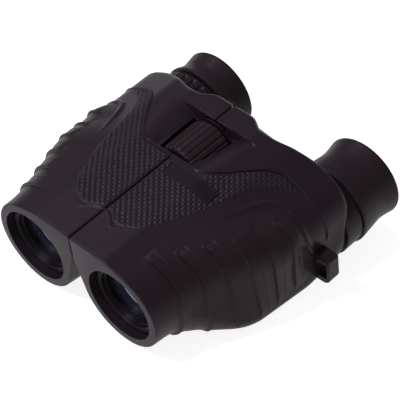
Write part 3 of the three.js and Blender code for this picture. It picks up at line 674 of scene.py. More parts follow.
def away_from(places: np.ndarray, path: np.ndarray) -> np.ndarray:
    """How far each place lies from a path of straight pieces.

    Args:
        places: points with their axis last.
        path: the path's corners.

    Returns:
        The shortest distance of each point.
    """
    nearest = np.full(places.shape[:-1], np.inf)
    for start, end in zip(path, path[1:]):
        way = end - start
        share = np.clip(((places - start) @ way) / (way @ way), 0, 1)
        gone = places - start - share[..., None] * way
        nearest = np.minimum(nearest, np.sqrt((gone**2).sum(axis=-1)))
    return nearest


def drawn_in(points: np.ndarray, distance: float) -> np.ndarray:
    """A closed outline moved inwards by a distance, each corner along its own bisector."""
    into = points - np.roll(points, 1, axis=0)
    into /= np.linalg.norm(into, axis=1, keepdims=True)
    out = np.roll(into, -1, axis=0)
    after = np.roll(points, -1, axis=0)
    turn = np.sign((points[:, 0] * after[:, 1] - after[:, 0] * points[:, 1]).sum())
    inward = np.stack([-into[:, 1] - out[:, 1], into[:, 0] + out[:, 0]], axis=1)
    inward /= np.linalg.norm(inward, axis=1, keepdims=True)
    spread = np.maximum((inward * np.stack([-into[:, 1], into[:, 0]], axis=1)).sum(axis=1), 0.5)
    return points + inward * (turn * distance / spread)[:, None]


def bump(share: np.ndarray) -> np.ndarray:
    """A rounded hump between -1 and 1."""
    return (1 - np.clip(np.abs(share), 0, 1) ** 2) ** 1.5


@dataclass
class Ridge:
    """The S-shaped ridge that parts the front housing from the rear one, with a bead along it."""

    front: float = 51.3
    rear: float = 74.3
    start_x: float = 11.5
    end_x: float = 36.0
    gap: float = 0.05
    bead_back: float = 0.55
    bead_half: float = 0.6
    bead_height: float = 0.6
    bead_bottom: float = -10.0
    bead_fade: float = 3.0
    far: float = 90.0
    steps: int = 49

    def y(self, x: np.ndarray) -> np.ndarray:
        """Where the ridge runs at each x."""
        return between(self.front, self.rear, smooth((x - self.start_x) / (self.end_x - self.start_x)))

    def region(self, toward: int) -> Solid:
        """All that lies on one side of the ridge.

        Args:
            toward: -1 for the side of the objectives, 1 for the side of the eyepieces.

        Returns:
            The closed solid.
        """
        xs = np.concatenate([[-self.far], np.linspace(self.start_x, self.end_x, self.steps), [self.far]])
        line = [(x, y + toward * self.gap, -self.far) for x, y in zip(xs, self.y(xs))]
        end = toward * 2 * self.far
        line += [(self.far, end, -self.far), (-self.far, end, -self.far)]
        return prism_of(line, (0, 0, 2 * self.far))

    def swell(self, at: SkinPoints) -> np.ndarray:
        """The bead's height."""
        share = np.clip((at.x - self.start_x) / (self.end_x - self.start_x), 0, 1)
        steep = (self.rear - self.front) / (self.end_x - self.start_x) * 6 * share * (1 - share)
        ahead = (self.y(at.x) - at.y) / np.hypot(1, steep)
        fade = smooth((at.z - self.bead_bottom) / self.bead_fade)
        return self.bead_height * bump((ahead - self.bead_back) / self.bead_half) * fade


@dataclass
class TopPanel:
    """The panel on top of a half, with its woven-looking beads."""

    edge: tuple[tuple[float, float], ...] = (
        (0.6, 18.1), (2.6, 17.7), (4.6, 16.5), (6.4, 15.1), (8.2, 14.75), (10.6, 15.23), (15.0, 17.5),
        (18.1, 21.0), (20.2, 24.4), (22.0, 29.9), (24.3, 34.9), (26.5, 41.0), (27.9, 47.2), (29.5, 54.4),
        (31.3, 60.1), (34.0, 64.9), (37.3, 68.9), (41.6, 70.8),
    )
    margin: float = 1.2
    seam_x: float = 0.6
    gap: float = 0.02
    depth: float = 0.9
    pitch: float = 0.22
    column_pitch: float = 1.31
    grain_pitch: float = 2.77
    grain_half_width: float = 0.82
    grain_half_length: float = 1.3
    grain_height: float = 0.37
    fade: float = 0.8
    smooth_field: Span = Span(48.6, 49.4)
    smooth_end_x: float = 16.0
    smooth_fade: float = 1.5
    bare_border: float = 0.1
    sheet_y: Span = Span(12.5, 74.5)
    sheet_x: Span = Span(0.2, 43.5)
    edge_steps: int = 40
    above: float = 40.0
    arc: tuple[tuple[float, float], ...] = (
        (0.0, 17.5), (1.3, 17.35), (2.6, 16.85), (4.0, 16.1), (5.4, 15.0), (6.6, 13.9), (7.6, 13.0),
    )
    arc_half: float = 0.65
    arc_height: float = 0.5

    def outline(self, ridge: Ridge) -> np.ndarray:
        """The panel's outline in plan, closed along the ridge."""
        last = self.edge[-1][0] - self.margin
        curve = np.linspace(min(ridge.end_x, last), ridge.start_x, self.edge_steps)
        back = np.concatenate([[last], curve, [self.seam_x]])
        return np.array([*self.edge, *zip(back, ridge.y(back) - self.margin)])

    def region(self, ridge: Ridge, inset: float) -> Solid:
        """The outline drawn up through the top."""
        return prism_of([(x, y, 0.0) for x, y in drawn_in(self.outline(ridge), inset)], (0, 0, self.above))

    def weave(self, at: SkinPoints, ridge: Ridge, bare: bool) -> np.ndarray:
        """The beads' height.

        Args:
            at: the panel's points.
            ridge: the ridge behind the panel.
            bare: whether a smooth field is left for the name plate.

        Returns:
            The height at each point.
        """
        steps = np.hypot(np.diff(at.x, axis=1), np.diff(at.z, axis=1))
        across = at.x[:, :1] + np.concatenate([np.zeros((len(at.x), 1)), np.cumsum(steps, axis=1)], axis=1)
        column = np.round(across / self.column_pitch)
        height = np.zeros_like(at.x)
        for near in (-1, 0, 1):
            own = column + near
            off = (across - own * self.column_pitch) / self.grain_half_width
            place = at.y / self.grain_pitch + 0.5 * (own % 2)
            along = (place - np.round(place)) * self.grain_pitch / self.grain_half_length
            grain = self.grain_height * np.sqrt(np.clip(1 - off**2 - along**2, 0, 1))
            height = np.maximum(height, grain)
        outline = self.outline(ridge)
        inside = away_from(np.stack([at.x, at.y], axis=-1), np.concatenate([outline, outline[:1]]))
        height = height * smooth((inside - self.bare_border) / self.fade)
        if bare:
            ahead = 1 - self.smooth_field.passed(at.y)
            beside = smooth((at.x - self.smooth_end_x) / self.smooth_fade)
            height = height * np.maximum(ahead, beside)
        return np.maximum(height, self.swell(at))

    def solid(self, form: BodyForm, ridge: Ridge, bare: bool) -> Solid:
        """The panel before its outline is cut.

        Args:
            form: the half's form.
            ridge: the ridge behind the panel.
            bare: whether a smooth field is left for the name plate.

        Returns:
            The closed solid.
        """
        stations = np.arange(self.sheet_y.start, self.sheet_y.end, self.pitch)
        columns = np.arange(self.sheet_x.start, self.sheet_x.end, self.pitch)
        at = form.top(stations, columns)
        places = at.raised(self.weave(at, ridge, bare))
        return slab(places, at.raised(-self.depth) - places)

    def swell(self, at: SkinPoints) -> np.ndarray:
        """The height of the little arc in front of the panel, beside the seam."""
        off = away_from(np.stack([at.x, at.y], axis=-1), np.array(self.arc))
        return self.arc_height * bump(off / self.arc_half) * (at.z > 0)


@dataclass
class SideGrip:
    """The rubber side of a half, with its wave ribs and the lip of the housing above it."""

    front: float = 9.0
    rear: float = 66.3
    top: float = 20.0
    top_inner_x: float = 20.0
    inner_x: float = 29.0
    depth: float = 2.0
    gap: float = 0.02
    edge_shares: tuple[tuple[float, float], ...] = (
        (0.0, 0.895), (0.262, 0.903), (0.366, 0.865), (0.471, 0.82), (0.623, 0.75), (0.766, 0.67),
        (0.855, 0.6), (0.916, 0.545), (0.946, 0.47), (0.949, 0.35), (0.941, 0.16), (0.941, -0.05),
        (0.972, -0.35), (1.0, -0.5),
    )
    rib_fronts: tuple[float, ...] = (11.5, 20.7, 29.3, 38.2, 47.0, 55.9)
    rib_ends: tuple[tuple[float, float], ...] = (
        (23.5, 18.1), (31.1, 16.3), (35.5, 15.4), (38.8, 14.6), (40.6, 12.4), (43.0, 8.8),
    )
    tab_width: float = 4.2
    tab_depth: float = 0.16
    tab_corner: float = 1.3
    lip_half: float = 0.3
    lip_height: float = 0.34
    hump_heights: tuple[float, ...] = (0.75, 0.75, 0.7, 0.6, 0.5, 0.5)
    hump_run: float = 8.4
    hump_rise: float = 0.35
    hump_fade: float = 3.5
    lip_fade: float = 0.6
    tab_edge: float = 0.3
    bottom_z: float = -18.0
    bottom_fade: float = 4.0
    ring_points: int = 900
    reach: float = 60.0
    under_x: float = -5.0
    under_y: Span = Span(-5, 90)
    under_z: float = -80.0
    path: tuple[tuple[float, float, float], ...] = (
        (30.5, 42.0, 16.2), (33.0, 49.0, 14.6), (35.0, 55.6, 13.3), (36.7, 60.0, 12.2), (39.2, 63.4, 10.9),
        (42.0, 64.5, 9.4), (45.0, 64.5, 7.5), (48.5, 64.3, 4.0), (51.2, 64.2, -0.8), (51.8, 65.8, -8.0),
    )
    path_half: float = 1.3
    path_height: float = 0.7
    path_growth: Span = Span(43, 56)

    def region(self, form: BodyForm, inset: float) -> Solid:
        """The grip's outline drawn in from the side.

        Args:
            form: the half's form.
            inset: how far the outline is drawn in.

        Returns:
            The closed solid, which still holds what lies under the grip's inner edge.
        """
        edge = [(self.front + (self.rear - self.front) * y, z * self.top) for y, z in self.edge_shares]
        deep = -form.side_x
        outline = np.array([(self.front, deep), *edge, (self.rear, deep)])
        corners = [(self.top_inner_x, y, z) for y, z in drawn_in(outline, inset)]
        return prism_of(corners, (self.reach, 0, 0))

    def under(self, inset: float) -> Solid:
        """The block under the half that the grip leaves free."""
        return block(Span(self.under_x, self.inner_x + inset), self.under_y, Span(self.under_z, 0))

    def ribs(self, form: BodyForm) -> Swell:
        """The ribs' height over the skin."""
        fronts = np.array(self.rib_fronts)
        x, z, _, down = form.rings(fronts, self.ring_points)
        tops = [
            down[i, np.argmin(np.hypot(x[i] - end_x, z[i] - end_z))]
            for i, (end_x, end_z) in enumerate(self.rib_ends)
        ]

        def swell(at: SkinPoints) -> np.ndarray:
            """The ribs' height at each point."""
            height = np.zeros_like(at.x)
            bottom = smooth((at.z - self.bottom_z) / self.bottom_fade + 0.5) * (at.down > 0)
            half = self.tab_width / 2
            for front, top, hump in zip(fronts, tops, self.hump_heights):
                along = at.y - front
                past = at.down - top
                rise = np.clip(along / self.hump_rise + 1, 0, 1) * (1 - smooth(along / self.hump_run))
                side = np.maximum(np.abs(along - half) - half + self.tab_corner, 0)
                tab = self.tab_corner - np.hypot(side, np.maximum(self.tab_corner - past, 0))
                lip = bump(along / self.lip_half) * smooth(past / self.lip_fade + 0.5)
                height += hump * rise * smooth(past / self.hump_fade) + self.lip_height * lip
                height -= self.tab_depth * smooth(tab / self.tab_edge)
            return height * bottom

        return swell

    def lip(self, at: SkinPoints) -> np.ndarray:
        """The height of the housing's lip above the grip."""
        off = away_from(np.stack([at.x, at.y, at.z], axis=-1), np.array(self.path))
        return self.path_height * bump(off / self.path_half) * self.path_growth.passed(at.y)


@dataclass
class StrapLug:
    """A loop for the neck strap, on a foot in the side of the housings."""

    front: float = 67.0
    rear: float = 71.8
    top: float = -9.5
    bottom: float = -23.0
    reach: float = 6.8
    bar: float = 1.6
    slot_height: float = 8.6
    slot_width: float = 4.5
    slot_corner: float = 1.0
    slot_overrun: float = 2.0
    corner: float = 4.0
    top_corner: float = 1.4
    corner_steps: int = 13
    slot_steps: int = 5
    outside: float = 20.0
    skin_front: float = 60.0
    foot_depth: float = 1.8
    foot_rear: float = 80.0
    foot_margin: float = 0.5

    def foot(self, side_x: float, clearance: float) -> Solid:
        """The block that the foot fills in the housings."""
        return block(
            Span(side_x - self.foot_depth - clearance, side_x + self.outside),
            Span(self.front - clearance, self.foot_rear),
            Span(self.bottom - self.foot_margin - clearance, self.top + self.foot_margin + clearance),
        )

    def loop(self, side_x: float) -> tuple[Solid, Solid]:
        """The loop without its slot, and the slot."""
        outer = side_x + self.reach
        inner = side_x - self.foot_depth
        turns = np.linspace(0, math.pi / 2, self.corner_steps)
        low, high = self.corner, self.top_corner
        shares = [(1 - math.cos(t), 1 - math.sin(t)) for t in turns]
        arc = [(outer - low * x, self.front, self.bottom + low * z) for x, z in shares]
        top_arc = [(outer - high * x, self.front, self.top - high * z) for z, x in shares]
        corners = [(inner, self.front, self.top), *top_arc, *arc, (inner, self.front, self.bottom)]
        solid = prism_of(corners, (0, self.rear - self.front, 0))
        middle = (self.top + self.bottom) / 2
        slot = block(
            Span(outer - self.bar - self.slot_width, outer - self.bar),
            Span(self.front - self.slot_overrun, self.rear + self.slot_overrun),
            Span(middle - self.slot_height / 2, middle + self.slot_height / 2),
        )
        lengthwise = [edge for edge in slot.edges if abs(edge.verts[0].co.y - edge.verts[1].co.y) > 1]
        bmesh.ops.bevel(
            slot,
            geom=lengthwise,
            offset=self.slot_corner,
            segments=self.slot_steps,
            profile=0.5,
            affect="EDGES",
            material=-1,
        )
        return solid, slot


@dataclass
class FocusWheel:
    """The ribbed wheel on the fold axis, and the well that it turns in."""

    radius: float = 10.6
    front: float = 53.4
    rear: float = 71.4
    ribs: int = 26
    groove_depth: float = 0.34
    groove_half: float = 0.36
    chamfer: float = 1.5
    bore: float = 2.3
    room: float = 1.3
    end_room: float = 0.8
    well_wall: float = 1.2
    lip: Span = Span(72.1, 72.7)
    lip_radius: float = 10.3
    lip_round: float = 0.15
    lip_bottom: float = 9.0
    face_inset: float = 2.2
    face_round: float = 0.3
    groove_reach: float = 1.3
    groove_flat_share: float = 0.4
    groove_edge_share: float = 1.2
    groove_fade: float = 0.4
    steps_per_rib: int = 14
    corner_steps: int = 6
    rows: int = 14

    @property
    def well_front(self) -> float:
        """Where the well starts."""
        return self.front - self.end_room

    @property
    def well_rear(self) -> float:
        """Where the well ends."""
        return self.rear + self.end_room

    def solid(self) -> Solid:
        """The wheel on the Y axis."""
        corners = [
            (self.bore, self.front, 0.0),
            (self.radius - self.face_inset, self.front, self.face_round),
            (self.radius, self.front, self.chamfer),
            (self.radius, self.rear, self.chamfer),
            (self.radius - self.face_inset, self.rear, self.face_round),
            (self.bore, self.rear, 0.0),
        ]
        profile = with_rows(rounded(corners, self.corner_steps), self.radius, self.rows)
        solid = turned(profile, self.ribs * self.steps_per_rib)
        return drawn_inwards(solid, self.ribs, self.radius - self.groove_reach, self._groove)

    def _groove(self, share: float, y: float) -> float:
        """How deep the groove is at a share of the way from one rib to the next."""
        off = abs(share) / self.ribs * 2 * math.pi * self.radius
        past = (off / self.groove_half - self.groove_flat_share) / self.groove_edge_share
        end = min(y - self.front, self.rear - y)
        return self.groove_depth * float(1 - smooth(past)) * float(smooth(end / self.groove_fade))


@dataclass
class Hinge:
    """The rear hinge knuckles and the rooms round the fold axis."""

    z: float = 9.2
    radius: float = 6.0
    knuckle: float = 3.9
    start: float = 74.3
    gap: float = 0.3
    bush: float = 3.5
    spindle: float = 2.3
    room: float = 5.9
    room_front: float = 18.2
    room_rear: float = 49.6

    def span(self, side: Side) -> Span:
        """Where a side's knuckle lies."""
        if side is Side.LEFT:
            return Span(self.start, self.start + self.knuckle)
        return Span(self.start + self.knuckle + self.gap, self.start + 2 * self.knuckle + self.gap)

    def rod(self, radius: float, y0: float, y1: float, steps: int = 96) -> Solid:
        """A rod on the fold axis."""
        return shifted(rod(radius, y0, y1, steps), z=self.z)


@dataclass
class NamePlate:
    """The bare plate on the right panel, with a thin raised border."""

    x: Span = Span(2.9, 25.0)
    y: Span = Span(42.4, 49.2)
    proud: float = 0.4
    border: float = 0.4
    border_height: float = 0.14
    round: float = 0.35
    depth: float = 0.9
    gap: float = 0.08
    pitch: float = 0.1
    border_edge: float = 0.15
    above: float = 40.0

    def pocket(self) -> Solid:
        """The opening for it in the panel."""
        return block(
            Span(self.x.start - self.gap, self.x.end + self.gap),
            Span(self.y.start - self.gap, self.y.end + self.gap),
            Span(0, self.above),
        )

    def solid(self, form: BodyForm) -> Solid:
        """The plate, on the skin of its half."""
        x = np.arange(self.x.start, self.x.end + self.pitch / 10, self.pitch)
        y = np.arange(self.y.start, self.y.end + self.pitch / 10, self.pitch)
        at = form.top(y, x)
        edge = np.minimum(
            np.minimum(at.x - self.x.start, self.x.end - at.x),
            np.minimum(at.y - self.y.start, self.y.end - at.y),
        )
        edge = np.maximum(edge, 0)
        fall = self.round * (1 - np.sqrt(1 - np.clip(1 - edge / self.round, 0, 1) ** 2))
        step = self.border_height * (1 - smooth((edge - self.border) / self.border_edge))
        places = at.raised(self.proud + step - fall)
        return slab(places, at.raised(-self.depth) - places)


@dataclass
class Half:
    """The housings, grip, panel and strap lug of one half."""

    side: Side
    bench: Bench
    form: BodyForm = field(default_factory=BodyForm)
    ridge: Ridge = field(default_factory=Ridge)
    panel: TopPanel = field(default_factory=TopPanel)
    grip: SideGrip = field(default_factory=SideGrip)
    lug: StrapLug = field(default_factory=StrapLug)
    wheel: FocusWheel = field(default_factory=FocusWheel)
    hinge: Hinge = field(default_factory=Hinge)
    plate: NamePlate = field(default_factory=NamePlate)
    columns: int = 300
    pitch: float = 0.5
    wall: float = 2.4
    rear_wall: float = 2.0
    cavity_front: float = 16.0
    hood_bore: float = 14.75
    hood_ahead: float = 4.0
    bore_depth: float = 17.35
    dish: Span = Span(52.0, 72.0)
    dish_depths: Span = Span(1.7, 4.7)
    dish_widths: Span = Span(6.0, 13.0)
    dish_x: float = 9.3
    dish_low: Span = Span(8.0, 11.0)
    crest: float = 73.0
    crest_rise: float = 0.35
    barrel_room: float = 12.3
    ring_room: float = 16.7
    seat_gap: float = 0.05
    knuckle_gap: float = 0.3
    wheel_slot: Span = Span(-9, 9)
    wheel_slot_z: Span = Span(18, 40)
    wheel_slot_gap: float = 0.5
    filled_x: Span = Span(-5, 24)
    filled_z: Span = Span(12.5, 30)
    filled_behind: float = 2.0
    filled_ahead: float = 4.0
    far: float = 80.0
    past_rear: float = 112.0
    far_rear: float = 120.0
    spindle_end: float = 90.0
    barrel_start: float = 60.0
    rim_steps: int = 7
    rear_steps: int = 12
    rear_extra_columns: int = 60
    grip_columns: int = 440
    bore_steps: int = 160
    seat_steps: int = 128
    thin_steps: int = 48
    hood_fine: Span = Span(12, 20)
    hood_fine_pitch: float = 0.25
    crest_fine: Span = Span(72.6, 73.8)
    crest_fine_pitch: float = 0.1
    grip_fine: Span = Span(8.5, 66.5)
    grip_fine_pitch: float = 0.2

    def build(self) -> None:
        """Makes all the pieces of the half."""
        self._finish(self.front_housing(), "front_housing", Slot.SKIN)
        self._finish(self.rear_housing(), "rear_housing", Slot.SKIN)
        self._finish(self.side_grip(), "side_grip", Slot.GRIP)
        self._finish(self.top_panel(), "top_panel", Slot.WEAVE)
        self._finish(self.strap_lug(), "strap_lug", Slot.SKIN)

    def _finish(self, solid: Solid, piece: str, slot: Slot) -> None:
        """Mirrors a right-hand solid where needed, and finishes it."""
        if self.side is Side.LEFT:
            solid = mirrored(solid)
        node = f"{self.side.value}_{piece}"
        self.bench.finish(solid, f"{node}_skin", self.side.body, node, slot)

    def _stations(self, fine: Span, pitch: float) -> np.ndarray:
        """Stations along the half, closer together in a stretch."""
        form = self.form
        front = form.rim_round * (1 - np.cos(np.linspace(0, math.pi / 2, self.rim_steps)))
        turns = np.linspace(0, math.pi / 2, self.rear_steps)
        rear = form.rear_face - form.rear_round * (1 - np.sin(turns))
        coarse = np.arange(form.rim_round + self.pitch, rear[0], self.pitch)
        coarse = coarse[(coarse < fine.start) | (coarse > fine.end)]
        dense = np.arange(fine.start, fine.end, pitch)
        return np.unique(np.concatenate([front, coarse, dense, rear]).round(4))

    def _skin(self, at: SkinPoints) -> np.ndarray:
        """The beads, lips and swellings of the front housing."""
        bead = self.ridge.swell(at) + self.panel.swell(at)
        return bead + self.grip.lip(at) + self.form.shoulder_swell(at)

    def front_housing(self) -> Solid:
        """The hood, the barrel and the top shell, with pockets for the panel, grip and lug."""
        form, hinge = self.form, self.hinge
        stations = self._stations(self.hood_fine, self.hood_fine_pitch)
        shell = form.loft(stations, self.columns, self._skin)
        wide = Span(-self.far, self.far)
        behind = block(Span(-self.far, self.ridge.start_x), Span(hinge.room_rear, self.far_rear), wide)
        cavity = self.bench.carve(self._cavity(), [(Cut.AWAY, behind)])
        panel = self.bench.carve(
            self.panel.region(self.ridge, -self.panel.gap),
            [(Cut.AWAY, self._bed(self.panel.depth + self.seat_gap))],
        )
        grip = self.bench.carve(
            self.grip.region(form, -self.grip.gap),
            [
                (Cut.AWAY, self.grip.under(-self.grip.gap)),
                (Cut.AWAY, self._bed(self.grip.depth + self.seat_gap)),
            ],
        )
        bore = rod(self.hood_bore, -self.hood_ahead, self.bore_depth, self.bore_steps)
        thread_start = self.bore_depth + self.wall
        steps = [
            (Cut.WITHIN, self.ridge.region(-1)),
            (Cut.AWAY, cavity),
            (Cut.AWAY, shifted(bore, x=form.objective_x)),
            (Cut.AWAY, hinge.rod(hinge.room, hinge.room_front, hinge.room_rear)),
            (Cut.AWAY, hinge.rod(hinge.spindle, thread_start, self.spindle_end, self.thin_steps)),
            (Cut.AWAY, panel),
            (Cut.AWAY, grip),
            (Cut.AWAY, self.lug.foot(form.side_x, self.seat_gap)),
        ]
        return self.bench.carve(shell, steps)

    def _cavity(self) -> Solid:
        """The room inside the walls of the half."""
        span = Span(self.cavity_front, self.form.rear_face - self.rear_wall)
        return self.form.core(span, self.wall)

    def _bed(self, depth: float) -> Solid:
        """The half without its outer layer, on which the grip and the panel lie."""
        return self.form.core(Span(0, self.form.rear_face), depth, open_seam=True)

    def _dish(self, at: SkinPoints) -> np.ndarray:
        """The hollow beside the wheel, which ends at the crest of the band behind it."""
        share = np.clip((at.y - self.dish.start) / (self.dish.end - self.dish.start), 0, 1)
        width = between(self.dish_widths.start, self.dish_widths.end, share)
        out = np.clip((at.x - self.dish_x) / width, 0, 1)
        depth = between(self.dish_depths.start, self.dish_depths.end, share) * (1 - out) ** 2
        low = self.dish_low
        above = smooth((at.z - low.start) / (low.end - low.start))
        return -depth * (1 - smooth((at.y - self.crest) / self.crest_rise)) * above

    def _lip(self) -> Solid:
        """The rounded wall that stands behind the wheel."""
        wheel, radius = self.wheel, self.wheel.lip_radius
        corners = [
            (0.0, wheel.lip.start, 0.0),
            (radius, wheel.lip.start, wheel.lip_round),
            (radius, wheel.lip.end, wheel.lip_round),
            (0.0, wheel.lip.end, 0.0),
        ]
        whole = shifted(turned(rounded(corners, 3), self.seat_steps), z=self.hinge.z)
        upper = block(
            Span(self.form.half_seam, radius + 1),
            Span(wheel.lip.start - 1, wheel.lip.end + 1),
            Span(wheel.lip_bottom, wheel.lip_bottom + 2 * radius),
        )
        return self.bench.carve(whole, [(Cut.WITHIN, upper)])

    def _on_eyepiece(self, solid: Solid) -> Solid:
        """Moves a solid from the Y axis to the eyepiece axis."""
        return shifted(solid, x=self.form.eyepiece_x, z=-self.form.eyepiece_drop)

    def rear_housing(self) -> Solid:
        """The shoulder beside the wheel, the band over the prisms and the hinge knuckle."""
        form, hinge, wheel = self.form, self.hinge, self.wheel
        own = hinge.span(self.side)
        other = hinge.span(Side.LEFT if self.side is Side.RIGHT else Side.RIGHT)
        room, wall = wheel.radius + wheel.room, wheel.well_wall
        stations = self._stations(self.crest_fine, self.crest_fine_pitch)
        region = self.bench.carve(
            form.loft(stations, self.columns + self.rear_extra_columns, self._dish),
            [(Cut.WITHIN, self.ridge.region(1))],
        )
        socket_front = form.rear_face - self.filled_ahead
        socket = rod(self.ring_room + self.rear_wall, socket_front, self.past_rear)
        beside = block(
            self.filled_x, Span(self.ridge.front, wheel.well_rear + self.filled_behind), self.filled_z
        )
        filled = self.bench.carve(
            hinge.rod(room + wall, self.ridge.front, wheel.well_rear + wall),
            [
                (Cut.JOIN, self._on_eyepiece(socket)),
                (Cut.JOIN, beside),
                (Cut.WITHIN, region.copy()),
            ],
        )
        slot = Span(wheel.well_front + self.wheel_slot_gap, wheel.lip.start)
        gap, end, thin = self.knuckle_gap, self.past_rear, self.thin_steps
        barrel = rod(self.barrel_room, self.barrel_start, end, self.seat_steps)
        steps = [
            (Cut.AWAY, self._cavity()),
            (Cut.JOIN, filled),
            (Cut.JOIN, hinge.rod(hinge.radius, own.start, own.end)),
            (Cut.JOIN, self._lip()),
            (Cut.AWAY, hinge.rod(room, wheel.well_front, wheel.well_rear, self.bore_steps)),
            (Cut.AWAY, hinge.rod(hinge.spindle, 0, wheel.well_rear, thin)),
            (Cut.AWAY, hinge.rod(hinge.bush, wheel.well_rear - gap, end, thin)),
            (Cut.AWAY, hinge.rod(hinge.radius + gap, other.start - gap, other.end + gap)),
            (Cut.AWAY, block(self.wheel_slot, slot, self.wheel_slot_z)),
            (Cut.AWAY, self._on_eyepiece(barrel)),
            (Cut.AWAY, self._on_eyepiece(rod(self.ring_room, form.rear_face, end, self.bore_steps))),
            (Cut.AWAY, self.lug.foot(form.side_x, self.seat_gap)),
        ]
        return self.bench.carve(region, steps)

    def side_grip(self) -> Solid:
        """The ribbed rubber side."""
        form, grip = self.form, self.grip
        ribs = grip.ribs(form)
        stations = self._stations(self.grip_fine, self.grip_fine_pitch)
        ribbed = form.loft(stations, self.grip_columns, lambda at: ribs(at) + form.shoulder_swell(at))
        steps = [
            (Cut.WITHIN, grip.region(form, grip.gap)),
            (Cut.AWAY, grip.under(grip.gap)),
            (Cut.AWAY, self._bed(grip.depth)),
        ]
        return self.bench.carve(ribbed, steps)

    def top_panel(self) -> Solid:
        """The woven-looking panel, with the opening for the name plate on the right."""
        right = self.side is Side.RIGHT
        steps = [(Cut.WITHIN, self.panel.region(self.ridge, self.panel.gap))]
        if right:
            steps.append((Cut.AWAY, self.plate.pocket()))
        return self.bench.carve(self.panel.solid(self.form, self.ridge, right), steps)

    def strap_lug(self) -> Solid:
        """The loop and its foot."""
        form, lug = self.form, self.lug
        skin = form.core(Span(lug.skin_front, form.rear_face), 0.0)
        foot = self.bench.carve(lug.foot(form.side_x, 0.0), [(Cut.WITHIN, skin.copy())])
        loop, slot = lug.loop(form.side_x)
        free = self.bench.carve(slot, [(Cut.AWAY, skin)])
        return self.bench.carve(loop, [(Cut.JOIN, foot), (Cut.AWAY, free)])


@dataclass
class ObjectiveGroup:
    """The cell, its stepped ring and the coated doublet of one half."""

    side: Side
    bench: Bench
    x: float = 21.5
    clear: float = 11.7
    bore: float = 12.8
    cell_radius: float = 14.45
    front: float = 3.2
    rear: float = 17.0
    ring_depth: float = 2.3
    steps: int = 2
    gap: float = 0.3
    bulge: float = 1.5
    thickness: float = 4.7
    stop_inset: float = 0.2
    stop_depth: float = 1.2
    edge_round: float = 0.2
    rim_round: float = 0.35
    stop_round: float = 0.1
    ring_gap: float = 0.05
    ring_round: float = 0.07
    ring_hollow: float = 0.03
    ring_front: float = 0.15
    ring_back: float = 0.35
    columns: int = 160
    lens_columns: int = 128
    lens_rows: int = 13

    def build(self) -> None:
        """Makes the pieces of the group."""
        self._finish(self.cell(), "objective_cell", Slot.MOULDED)
        self._finish(self.ring(), "retaining_ring", Slot.SATIN)
        self._finish(self.doublet(), "objective_doublet", Slot.COATED)

    def _finish(self, solid: Solid, piece: str, slot: Slot) -> None:
        """Moves a solid to the objective axis and finishes it on the cell's body."""
        node = f"{self.side.value}_{piece}"
        self.bench.finish(
            shifted(solid, x=self.side.sign * self.x), f"{node}_skin", f"{self.side.value}_cell", node, slot
        )

    @property
    def glass_front(self) -> float:
        """Where the doublet's rim starts."""
        return self.front + self.ring_depth + self.gap

    def cell(self) -> Solid:
        """The tube that slides in the hood, with the ledge behind the doublet and fine baffle rings."""
        ledge = self.glass_front + self.thickness + self.gap
        stop = self.clear - self.stop_inset
        edge, stop_edge = self.edge_round, self.stop_round
        corners = [
            (self.bore, self.front, edge),
            (self.cell_radius, self.front, self.rim_round),
            (self.cell_radius, self.rear, edge),
            (self.bore, self.rear, edge),
            (self.bore, ledge + self.stop_depth, stop_edge),
            (stop, ledge + self.stop_depth, stop_edge),
            (stop, ledge, stop_edge),
            (self.bore, ledge, 0.0),
        ]
        return turned(rounded(corners, 3), self.columns)

    def ring(self) -> Solid:
        """The retaining ring, which steps down to the glass."""
        outer = self.bore - self.ring_gap
        back = self.front + self.ring_depth
        low, high = back - self.ring_back, self.front + self.ring_front
        corners = [(self.clear, back, 0.0)]
        for step in range(self.steps):
            radius = between(self.clear, outer, step / self.steps)
            ahead = between(self.clear, outer, (step + 1) / self.steps)
            y = float(between(low, high, step / (self.steps - 1)))
            corners += [(float(radius), y, self.ring_round), (float(ahead), y, self.ring_hollow)]
        corners.append((outer, back, 0.0))
        return turned(rounded(corners, 2), self.columns)

    def doublet(self) -> Solid:
        """The lens, bulging to the front and the rear."""
        rear = self.glass_front + self.thickness
        profile = lens_profile(self.bore - self.gap, self.glass_front, rear, self.bulge, self.lens_rows)
        return turned(profile, self.lens_columns)


